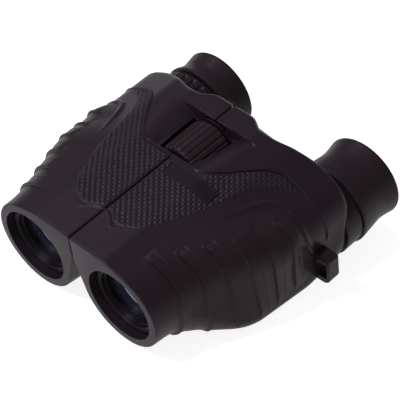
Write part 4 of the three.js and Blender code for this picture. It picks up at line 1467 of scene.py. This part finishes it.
@dataclass
class EyepieceGroup:
    """The eyecup, barrel, eye lens and turning ring or collar of one half."""

    side: Side
    bench: Bench
    x: float = 37.0
    z: float = -15.3
    gap: float = 0.3
    rear_face: float = 83.0
    rear: float = 111.7
    barrel_bore: float = 10.5
    barrel_radius: float = 12.0
    flange_radius: float = 14.5
    collar_radius: float = 16.2
    collar_length: float = 8.2
    ring_length: float = 14.3
    ring_plain: float = 1.8
    ring_proud: float = 0.2
    sleeve: float = 2.3
    travel: float = 0.8
    flutes: int = 26
    flute_depth: float = 0.75
    flute_share: float = 0.6
    barrel_inset: float = 5.2
    waist_share: float = 0.62
    cup_proud: float = 1.9
    cup_round: float = 1.2
    cup_lip: float = 0.6
    cup_knots: tuple[float, ...] = (2.2, 2.15, 1.5, 0.95, 1.35)
    cup_skirt: float = 0.9
    cup_rows: int = 36
    skirt_proud: float = 2.1
    skirt_round: float = 0.12
    mouth: float = 0.2
    mouth_chamfer: float = 0.5
    mouth_depths: Span = Span(1.0, 1.6)
    barrel_start: float = 4.0
    edge_round: float = 0.2
    bore_round: float = 0.3
    lens_inset: float = 2.5
    lens_thickness: float = 6.0
    lens_bulge: float = 0.9
    lens_rows: int = 11
    lens_columns: int = 112
    collar_front_round: float = 0.25
    collar_rear_round: float = 0.5
    ring_step: float = 0.4
    ring_step_round: float = 0.1
    ring_rows: int = 26
    flute_front: float = 1.8
    flute_rear: float = 0.9
    flute_end: float = 1.2
    flute_reach: float = 0.6
    columns: int = 160
    barrel_columns: int = 128
    steps_per_flute: int = 12

    @property
    def collar_front(self) -> float:
        """Where the ring or collar starts."""
        return self.rear_face + self.gap

    @property
    def collar_rear(self) -> float:
        """Where the plain collar ends."""
        return self.collar_front + self.collar_length

    @property
    def ring_rear(self) -> float:
        """Where the fluted part of the dioptre ring ends."""
        return self.collar_front + self.ring_length

    @property
    def skirt_front(self) -> float:
        """Where the eyecup starts."""
        if self.side is Side.LEFT:
            return self.ring_rear + self.travel + self.gap
        return self.collar_rear + self.gap

    @property
    def barrel_rear(self) -> float:
        """Where the barrel ends."""
        return self.rear - self.barrel_inset

    @property
    def body(self) -> str:
        """The body that the optics ride on."""
        return "left_eyepiece" if self.side is Side.LEFT else "right_half"

    def build(self) -> None:
        """Makes the pieces of the group."""
        self._finish(self.eyecup(), "eyecup", Slot.GRIP, self.body)
        self._finish(self.barrel(), "eyepiece_barrel", Slot.SATIN, self.body)
        self._finish(self.eye_lens(), "eye_lens", Slot.COATED, self.body)
        if self.side is Side.LEFT:
            self._finish(self.dioptre_ring(), "dioptre_ring", Slot.MOULDED, "dioptre")
        else:
            self._finish(self.collar(), "eyepiece_collar", Slot.MOULDED, self.body)

    def _finish(self, solid: Solid, piece: str, slot: Slot, body: str) -> None:
        """Moves a solid to the eyepiece axis and finishes it."""
        node = f"{self.side.value}_{piece}"
        placed = shifted(solid, x=self.side.sign * self.x, z=self.z)
        self.bench.finish(placed, f"{node}_skin", body, node, slot)

    def eyecup(self) -> Solid:
        """The soft cup, waisted between its skirt and its rounded rim."""
        bore = self.flange_radius + self.gap
        front, waist = self.skirt_front, between(self.collar_rear, self.rear, self.waist_share)
        rim, end = bore + self.cup_proud, self.rear - self.cup_round
        middle, upper = between(front, waist, 0.5), between(waist, end, 0.55)
        ends_y = np.array([front, front + self.cup_skirt, middle, waist, upper, end])
        ends_r = np.array([*(bore + knot for knot in self.cup_knots), rim])
        ys = np.linspace(front, end, self.cup_rows)
        share = np.interp(ys, ends_y, np.arange(len(ends_y)))
        low = np.floor(share).astype(int).clip(0, len(ends_y) - 2)
        slopes = np.gradient(ends_r, ends_y)
        width = ends_y[low + 1] - ends_y[low]
        t = (ys - ends_y[low]) / width
        radii = (
            (1 + 2 * t) * (1 - t) ** 2 * ends_r[low]
            + t * (1 - t) ** 2 * width * slopes[low]
            + t**2 * (3 - 2 * t) * ends_r[low + 1]
            + t**2 * (t - 1) * width * slopes[low + 1]
        )
        outside = [(float(r), float(y)) for r, y in zip(radii, ys)]
        turns = np.linspace(0, math.pi / 2, 9)[1:]
        size = self.cup_round
        round_rim = [(rim - size * (1 - math.cos(t)), self.rear - size * (1 - math.sin(t))) for t in turns]
        lip_front, mouth = self.barrel_rear + self.gap, self.barrel_radius + self.mouth
        inside = [
            (bore - self.cup_lip, self.rear),
            (self.barrel_radius + self.mouth_chamfer, lip_front + self.mouth_depths.end),
            (mouth, lip_front + self.mouth_depths.start),
            (mouth, lip_front),
            (bore, lip_front),
            (bore, front),
        ]
        start = [(rim, front), (bore + self.skirt_proud, front + self.skirt_round)]
        return turned([*start, *outside[1:], *round_rim, *inside], self.columns)

    def barrel(self) -> Solid:
        """The tube that holds the eyepiece's glass."""
        flange = self.skirt_front
        if self.side is Side.LEFT:
            flange = self.ring_rear + self.sleeve + self.travel + self.gap
        front, edge = self.rear_face - self.barrel_start, self.edge_round
        corners = [
            (self.barrel_bore, front, 0.0),
            (self.barrel_radius, front, edge),
            (self.barrel_radius, flange, 0.0),
            (self.flange_radius, flange, edge),
            (self.flange_radius, self.barrel_rear, edge),
            (self.barrel_bore, self.barrel_rear, self.bore_round),
        ]
        return turned(rounded(corners, 3), self.barrel_columns)

    def eye_lens(self) -> Solid:
        """The eye lens, bulging both ways."""
        rear = self.barrel_rear - self.lens_inset
        radius = self.barrel_bore - self.gap
        profile = lens_profile(radius, rear - self.lens_thickness, rear, self.lens_bulge, self.lens_rows)
        return turned(profile, self.lens_columns)

    def collar(self) -> Solid:
        """The plain collar between the housing and the right eyecup."""
        bore = self.barrel_radius + self.gap
        corners = [
            (bore, self.collar_front, 0.0),
            (self.collar_radius, self.collar_front, self.collar_front_round),
            (self.collar_radius, self.collar_rear, self.collar_rear_round),
            (bore, self.collar_rear, 0.0),
        ]
        return turned(rounded(corners, 5), self.columns)

    def dioptre_ring(self) -> Solid:
        """The fluted ring that sets the left eyepiece."""
        bore = self.barrel_radius + self.gap
        proud = self.collar_radius + self.ring_proud
        step = self.collar_front + self.ring_plain
        sleeve = self.flange_radius - self.gap
        corners = [
            (bore, self.collar_front, 0.0),
            (self.collar_radius, self.collar_front, self.edge_round),
            (self.collar_radius, step - self.ring_step, self.ring_step_round),
            (proud, step, self.edge_round),
            (proud, self.ring_rear, self.collar_rear_round),
            (sleeve, self.ring_rear, 0.0),
            (sleeve, self.ring_rear + self.sleeve, self.edge_round),
            (bore, self.ring_rear + self.sleeve, 0.0),
        ]
        profile = with_rows(rounded(corners, 4), proud, self.ring_rows)
        solid = turned(profile, self.flutes * self.steps_per_flute)
        return drawn_inwards(solid, self.flutes, proud - self.flute_reach, self._flute)

    def _flute(self, share: float, y: float) -> float:
        """How deep the flute is at a share of the way from one edge to the next."""
        start = self.collar_front + self.ring_plain + self.flute_front + self.flute_end
        end = self.ring_rear - self.flute_rear - self.flute_end
        across = share * 2 / self.flute_share
        past = max(start - y, y - end, 0.0) / self.flute_end
        return self.flute_depth * math.sqrt(max(1 - across**2 - past**2, 0.0))


def linear(code: str) -> tuple[float, float, float, float]:
    """A hex colour code as linear red, green, blue and alpha."""
    parts = [int(code[i : i + 2], 16) / 255 for i in (1, 3, 5)]
    red, green, blue = [c / 12.92 if c <= 0.04045 else ((c + 0.055) / 1.055) ** 2.4 for c in parts]
    return red, green, blue, 1.0


class Grain(Enum):
    """How a finish's fine relief runs."""

    PEBBLED = "pebbled"
    BRUSHED = "brushed"
    POLISHED = "polished"


@dataclass(frozen=True)
class Finish:
    """A surface: two tones of its colour, its sheen and its fine relief, in real millimetres."""

    name: str
    tone: str
    other_tone: str
    roughness: Span
    patch_mm: float
    grain: Grain
    grain_mm: float
    grain_depth: float
    metallic: float = 0.0
    specular: float = 0.5
    transmission: float = 0.0
    coat: float = 0.0
    specular_tint: str = "#ffffff"

    def _node(
        self,
        tree: bpy.types.NodeTree,
        kind: str,
        values: dict[str, object],
        links: dict[str, bpy.types.NodeSocket] | None = None,
    ) -> bpy.types.Node:
        """Adds a node.

        Args:
            tree: the node tree.
            kind: the node's type.
            values: values of its inputs.
            links: what feeds its other inputs.

        Returns:
            The new node.
        """
        made = tree.nodes.new(kind)
        for name, value in values.items():
            made.inputs[name].default_value = value
        for name, source in (links or {}).items():
            tree.links.new(source, made.inputs[name])
        return made

    def _noise(
        self,
        tree: bpy.types.NodeTree,
        size: float,
        detail: float,
        roughness: float,
        place: bpy.types.NodeSocket,
    ) -> bpy.types.NodeSocket:
        """Adds a noise.

        Args:
            tree: the node tree.
            size: the size of its patches.
            detail: how many finer layers it has.
            roughness: how strong the finer layers are.
            place: the coordinates.

        Returns:
            The socket that gives it.
        """
        values = {"Scale": 1 / (size * MM), "Detail": detail, "Roughness": roughness}
        return self._node(tree, "ShaderNodeTexNoise", values, {"Vector": place}).outputs["Fac"]

    def material(self) -> bpy.types.Material:
        """Makes the material."""
        made = bpy.data.materials.new(self.name)
        made.use_nodes = True
        tree = made.node_tree
        surface = tree.nodes["Principled BSDF"]
        place = tree.nodes.new("ShaderNodeTexCoord").outputs["Object"]
        patches = self._noise(tree, self.patch_mm, 5.0, 0.6, place)
        stretch = (1.0, 0.04, 1.0) if self.grain is Grain.BRUSHED else (1.0, 1.0, 1.0)
        along = self._node(tree, "ShaderNodeMapping", {"Scale": stretch}, {"Vector": place})
        fine = self._noise(tree, self.grain_mm, 2.0, 0.55, along.outputs["Vector"])
        tones = tree.nodes.new("ShaderNodeMix")
        tones.data_type = "RGBA"
        tones.inputs[6].default_value = linear(self.tone)
        tones.inputs[7].default_value = linear(self.other_tone)
        spread = self._node(
            tree, "ShaderNodeMapRange", {"From Min": 0.3, "From Max": 0.7}, {"Value": patches}
        )
        tree.links.new(spread.outputs["Result"], tones.inputs["Factor"])
        tree.links.new(tones.outputs[2], surface.inputs["Base Color"])
        low, high = self.roughness.start, self.roughness.end
        sheen = self._node(
            tree,
            "ShaderNodeMapRange",
            {"From Min": 0.25, "From Max": 0.75, "To Min": low, "To Max": high},
            {"Value": patches if self.grain is Grain.POLISHED else fine},
        )
        tree.links.new(sheen.outputs["Result"], surface.inputs["Roughness"])
        if self.grain_depth:
            depth = {"Strength": 1.0, "Distance": self.grain_depth * MM}
            relief = self._node(tree, "ShaderNodeBump", depth, {"Height": fine})
            tree.links.new(relief.outputs["Normal"], surface.inputs["Normal"])
        surface.inputs["Metallic"].default_value = self.metallic
        surface.inputs["Transmission Weight"].default_value = self.transmission
        surface.inputs["Coat Weight"].default_value = self.coat
        if self.metallic < 0.5:
            surface.inputs["Specular IOR Level"].default_value = self.specular
            surface.inputs["Specular Tint"].default_value = linear(self.specular_tint)
        return made


FINISHES = {
    # soft-touch rubber skin over the ABS shells: dull, slightly violet black, finely stippled
    Slot.SKIN: Finish(
        "soft_touch_rubber_skin", "#1e161c", "#221a20", Span(0.36, 0.44), 14, Grain.PEBBLED, 0.35, 0.008,
        specular=0.12,
    ),
    # moulded thermoplastic rubber of the grips and cups: a little browner and duller than the skin
    Slot.GRIP: Finish(
        "moulded_grip_rubber", "#1f171b", "#241b1f", Span(0.38, 0.46), 11, Grain.PEBBLED, 0.4, 0.01,
        specular=0.12,
    ),
    # rubber panel with the moulded weave: its beads catch a soft sheen
    Slot.WEAVE: Finish(
        "woven_pattern_rubber", "#1b151c", "#1f1920", Span(0.42, 0.5), 9, Grain.PEBBLED, 0.3, 0.006,
        specular=0.16,
    ),
    # black glass-filled polyamide of the cell, the collar and the dioptre ring
    Slot.MOULDED: Finish(
        "moulded_black_polyamide", "#171216", "#1b161a", Span(0.36, 0.46), 8, Grain.PEBBLED, 0.3, 0.008,
        specular=0.12,
    ),
    # black anodised aluminium of the rings, barrels and arms: a satin sheen that runs along the turning
    Slot.SATIN: Finish(
        "black_anodised_aluminium", "#0d0c0e", "#121113", Span(0.28, 0.4), 6, Grain.BRUSHED, 0.25, 0.006,
        specular=0.3,
    ),
    # bare die-cast alloy of the chassis
    Slot.ALLOY: Finish(
        "die_cast_alloy", "#8d8f92", "#7f8184", Span(0.38, 0.52), 5, Grain.PEBBLED, 0.3, 0.02, metallic=1.0
    ),
    # turned brass of the nut and the sleeves
    Slot.BRASS: Finish(
        "turned_brass", "#b39a5c", "#a58c50", Span(0.28, 0.4), 4, Grain.BRUSHED, 0.2, 0.008, metallic=1.0
    ),
    # ground steel of the pins, the spindle and the spring clips
    Slot.STEEL: Finish(
        "ground_steel", "#a2a4a6", "#96989b", Span(0.25, 0.36), 4, Grain.BRUSHED, 0.2, 0.006, metallic=1.0
    ),
    # prism glass, clear with faint cleaning haze
    Slot.CLEAR: Finish(
        "prism_glass", "#e8eeee", "#dfe8e8", Span(0.02, 0.07), 9, Grain.POLISHED, 1.0, 0.0, transmission=1.0
    ),
    # objective and eye lens glass: a blue-grey base colour, lightened as a painted reflection of the glow
    # inside the lenses, with a cool reflection from its coating
    Slot.COATED: Finish(
        "coated_lens_glass", "#262b3c", "#20253a", Span(0.04, 0.1), 12, Grain.POLISHED, 1.0, 0.0,
        specular=0.9, specular_tint="#c4d2ff", transmission=0.2,
    ),
    # lacquered plate: a flat black, a little darker than the rubber round it
    Slot.BADGE: Finish(
        "lacquered_plate", "#120e13", "#161217", Span(0.4, 0.5), 7, Grain.PEBBLED, 0.5, 0.004, specular=0.12
    ),
}


@dataclass
class InnerWorks:
    """The CAD pieces that stay as they are: they only get their finish."""

    bench: Bench
    pieces: dict[str, Slot] = field(
        default_factory=lambda: {
            "chassis": Slot.ALLOY,
            "rear_prism": Slot.CLEAR,
            "front_prism": Slot.CLEAR,
            "rear_prism_clip": Slot.STEEL,
            "front_prism_clip": Slot.STEEL,
            "focus_arm": Slot.SATIN,
            "field_lens": Slot.CLEAR,
            "spacer_tube": Slot.SATIN,
            "front_hinge_pin": Slot.STEEL,
            "middle_hinge_sleeve": Slot.BRASS,
            "rear_hinge_bush": Slot.BRASS,
            "focus_nut": Slot.BRASS,
            "focus_spindle": Slot.STEEL,
        }
    )

    def dress(self) -> None:
        """Gives each piece its finish."""
        for name, node in frame["nodes"].items():
            plain = name.removeprefix("left_").removeprefix("right_")
            if plain in self.pieces:
                node.data.materials.clear()
                node.data.materials.append(self.bench.materials[self.pieces[plain]])
                log.info("%s: %s", name, self.pieces[plain].value)


@dataclass(frozen=True)
class Lamp:
    """A soft square lamp that looks at the object."""

    name: str
    place: tuple[float, float, float]
    power: float
    size: float
    tone: str


@dataclass
class Studio:
    """The white sweep, the soft lamps and the camera, fitted to the photograph in the drawn frame."""

    bench: Bench
    camera_place: tuple[float, float, float] = (362.557, -250.329, 501.969)
    camera_back: tuple[float, float, float] = (0.516169, -0.443565, 0.73268)
    camera_right: tuple[float, float, float] = (0.71729, 0.691349, -0.086784)
    camera_up: tuple[float, float, float] = (-0.468043, 0.57034, 0.675017)
    lens: float = 170.95
    sensor: float = 36
    floor_half: float = 6
    floor_tone: str = "#c8c8c8"
    floor_roughness: float = 0.9
    sky_light: float = 0.25
    sky_mirrored: float = 0.32
    floor_light: float = 0.15
    floor_mirrored: float = 0.7
    floor_glow: float = 0.85
    lamps: tuple[Lamp, ...] = (
        Lamp("key_lamp", (-0.2, -0.5, 0.85), 6.5, 0.08, "#faf2ff"),
        Lamp("front_lamp", (0.55, -0.8, 0.3), 1.3, 0.25, "#ffdccc"),
        Lamp("left_lamp", (-0.55, -0.05, 0.83), 2.5, 0.08, "#f4f0ff"),
    )

    def build(self) -> None:
        """Makes the floor, the light and the camera."""
        self._floor()
        self._light()
        self._camera()

    def _strength(
        self, tree: bpy.types.NodeTree, light: float, mirrored: float, shown: float
    ) -> bpy.types.NodeSocket:
        """A strength that differs for what the eye, metal and glass see.

        Args:
            tree: the node tree.
            light: the strength that lights the object.
            mirrored: the strength that metal and glass show.
            shown: the strength that the eye sees.

        Returns:
            The socket that gives it.
        """
        path = tree.nodes.new("ShaderNodeLightPath")
        strength = None
        rays = {"Is Camera Ray": shown, "Is Glossy Ray": mirrored, "Is Transmission Ray": mirrored}
        for ray, most in rays.items():
            own = tree.nodes.new("ShaderNodeMapRange")
            own.inputs["To Min"].default_value = light
            own.inputs["To Max"].default_value = most
            tree.links.new(path.outputs[ray], own.inputs["Value"])
            if strength is None:
                strength = own.outputs["Result"]
                continue
            most_of = tree.nodes.new("ShaderNodeMath")
            most_of.operation = "MAXIMUM"
            tree.links.new(strength, most_of.inputs[0])
            tree.links.new(own.outputs["Result"], most_of.inputs[1])
            strength = most_of.outputs["Value"]
        return strength

    def _floor(self) -> None:
        """The floor: white to the eye, with a faint shadow."""
        solid = bmesh.new()
        bmesh.ops.create_grid(solid, x_segments=1, y_segments=1, size=self.floor_half)
        mesh = bpy.data.meshes.new("floor")
        solid.to_mesh(mesh)
        solid.free()
        floor = bpy.data.objects.new("floor", mesh)
        bpy.context.scene.collection.objects.link(floor)
        made = bpy.data.materials.new("white_paper_sweep")
        made.use_nodes = True
        tree = made.node_tree
        surface = tree.nodes["Principled BSDF"]
        surface.inputs["Base Color"].default_value = linear(self.floor_tone)
        surface.inputs["Roughness"].default_value = self.floor_roughness
        surface.inputs["Emission Color"].default_value = (1, 1, 1, 1)
        strength = self._strength(tree, self.floor_light, self.floor_mirrored, self.floor_glow)
        tree.links.new(strength, surface.inputs["Emission Strength"])
        mesh.materials.append(made)

    def _light(self) -> None:
        """An even sky and soft lamps."""
        world = bpy.data.worlds.new("studio")
        world.use_nodes = True
        tree = world.node_tree
        back = tree.nodes["Background"]
        back.inputs["Color"].default_value = (1, 1, 1, 1)
        strength = self._strength(tree, self.sky_light, self.sky_mirrored, 1.0)
        tree.links.new(strength, back.inputs["Strength"])
        bpy.context.scene.world = world
        for lamp in self.lamps:
            data = bpy.data.lights.new(lamp.name, "AREA")
            data.energy = lamp.power
            data.size = lamp.size
            data.color = linear(lamp.tone)[:3]
            made = bpy.data.objects.new(lamp.name, data)
            made.location = lamp.place
            made.rotation_euler = (-Vector(lamp.place)).to_track_quat("-Z", "Y").to_euler()
            bpy.context.scene.collection.objects.link(made)

    def _camera(self) -> None:
        """The camera fitted to the photograph."""
        data = bpy.data.cameras.new("photo_camera")
        data.lens = self.lens
        data.sensor_width = self.sensor
        camera = bpy.data.objects.new("photo_camera", data)
        placing = self.bench.placing()
        turn = placing.to_quaternion().to_matrix() @ Matrix(
            [self.camera_right, self.camera_up, self.camera_back]
        ).transposed()
        place = placing @ Vector(self.camera_place)
        camera.matrix_world = Matrix.Translation(place) @ turn.to_4x4()
        bpy.context.scene.collection.objects.link(camera)
        bpy.context.scene.camera = camera
        bpy.context.scene.view_settings.view_transform = "Standard"


def main() -> None:
    """Builds the binoculars in order."""
    logging.basicConfig(level=logging.INFO, format="%(name)s: %(message)s")
    bench = Bench({slot: finish.material() for slot, finish in FINISHES.items()})
    for side in Side:
        Half(side, bench).build()
        ObjectiveGroup(side, bench).build()
        EyepieceGroup(side, bench).build()
    wheel = shifted(FocusWheel().solid(), z=bench.hinge_z)
    bench.finish(wheel, "focus_wheel_skin", "wheel", "focus_wheel", Slot.GRIP)
    plate = NamePlate().solid(BodyForm())
    bench.finish(plate, "name_plate_skin", "right_half", "name_plate", Slot.BADGE)
    InnerWorks(bench).dress()
    Studio(bench).build()


if __name__ == "__main__":
    main()
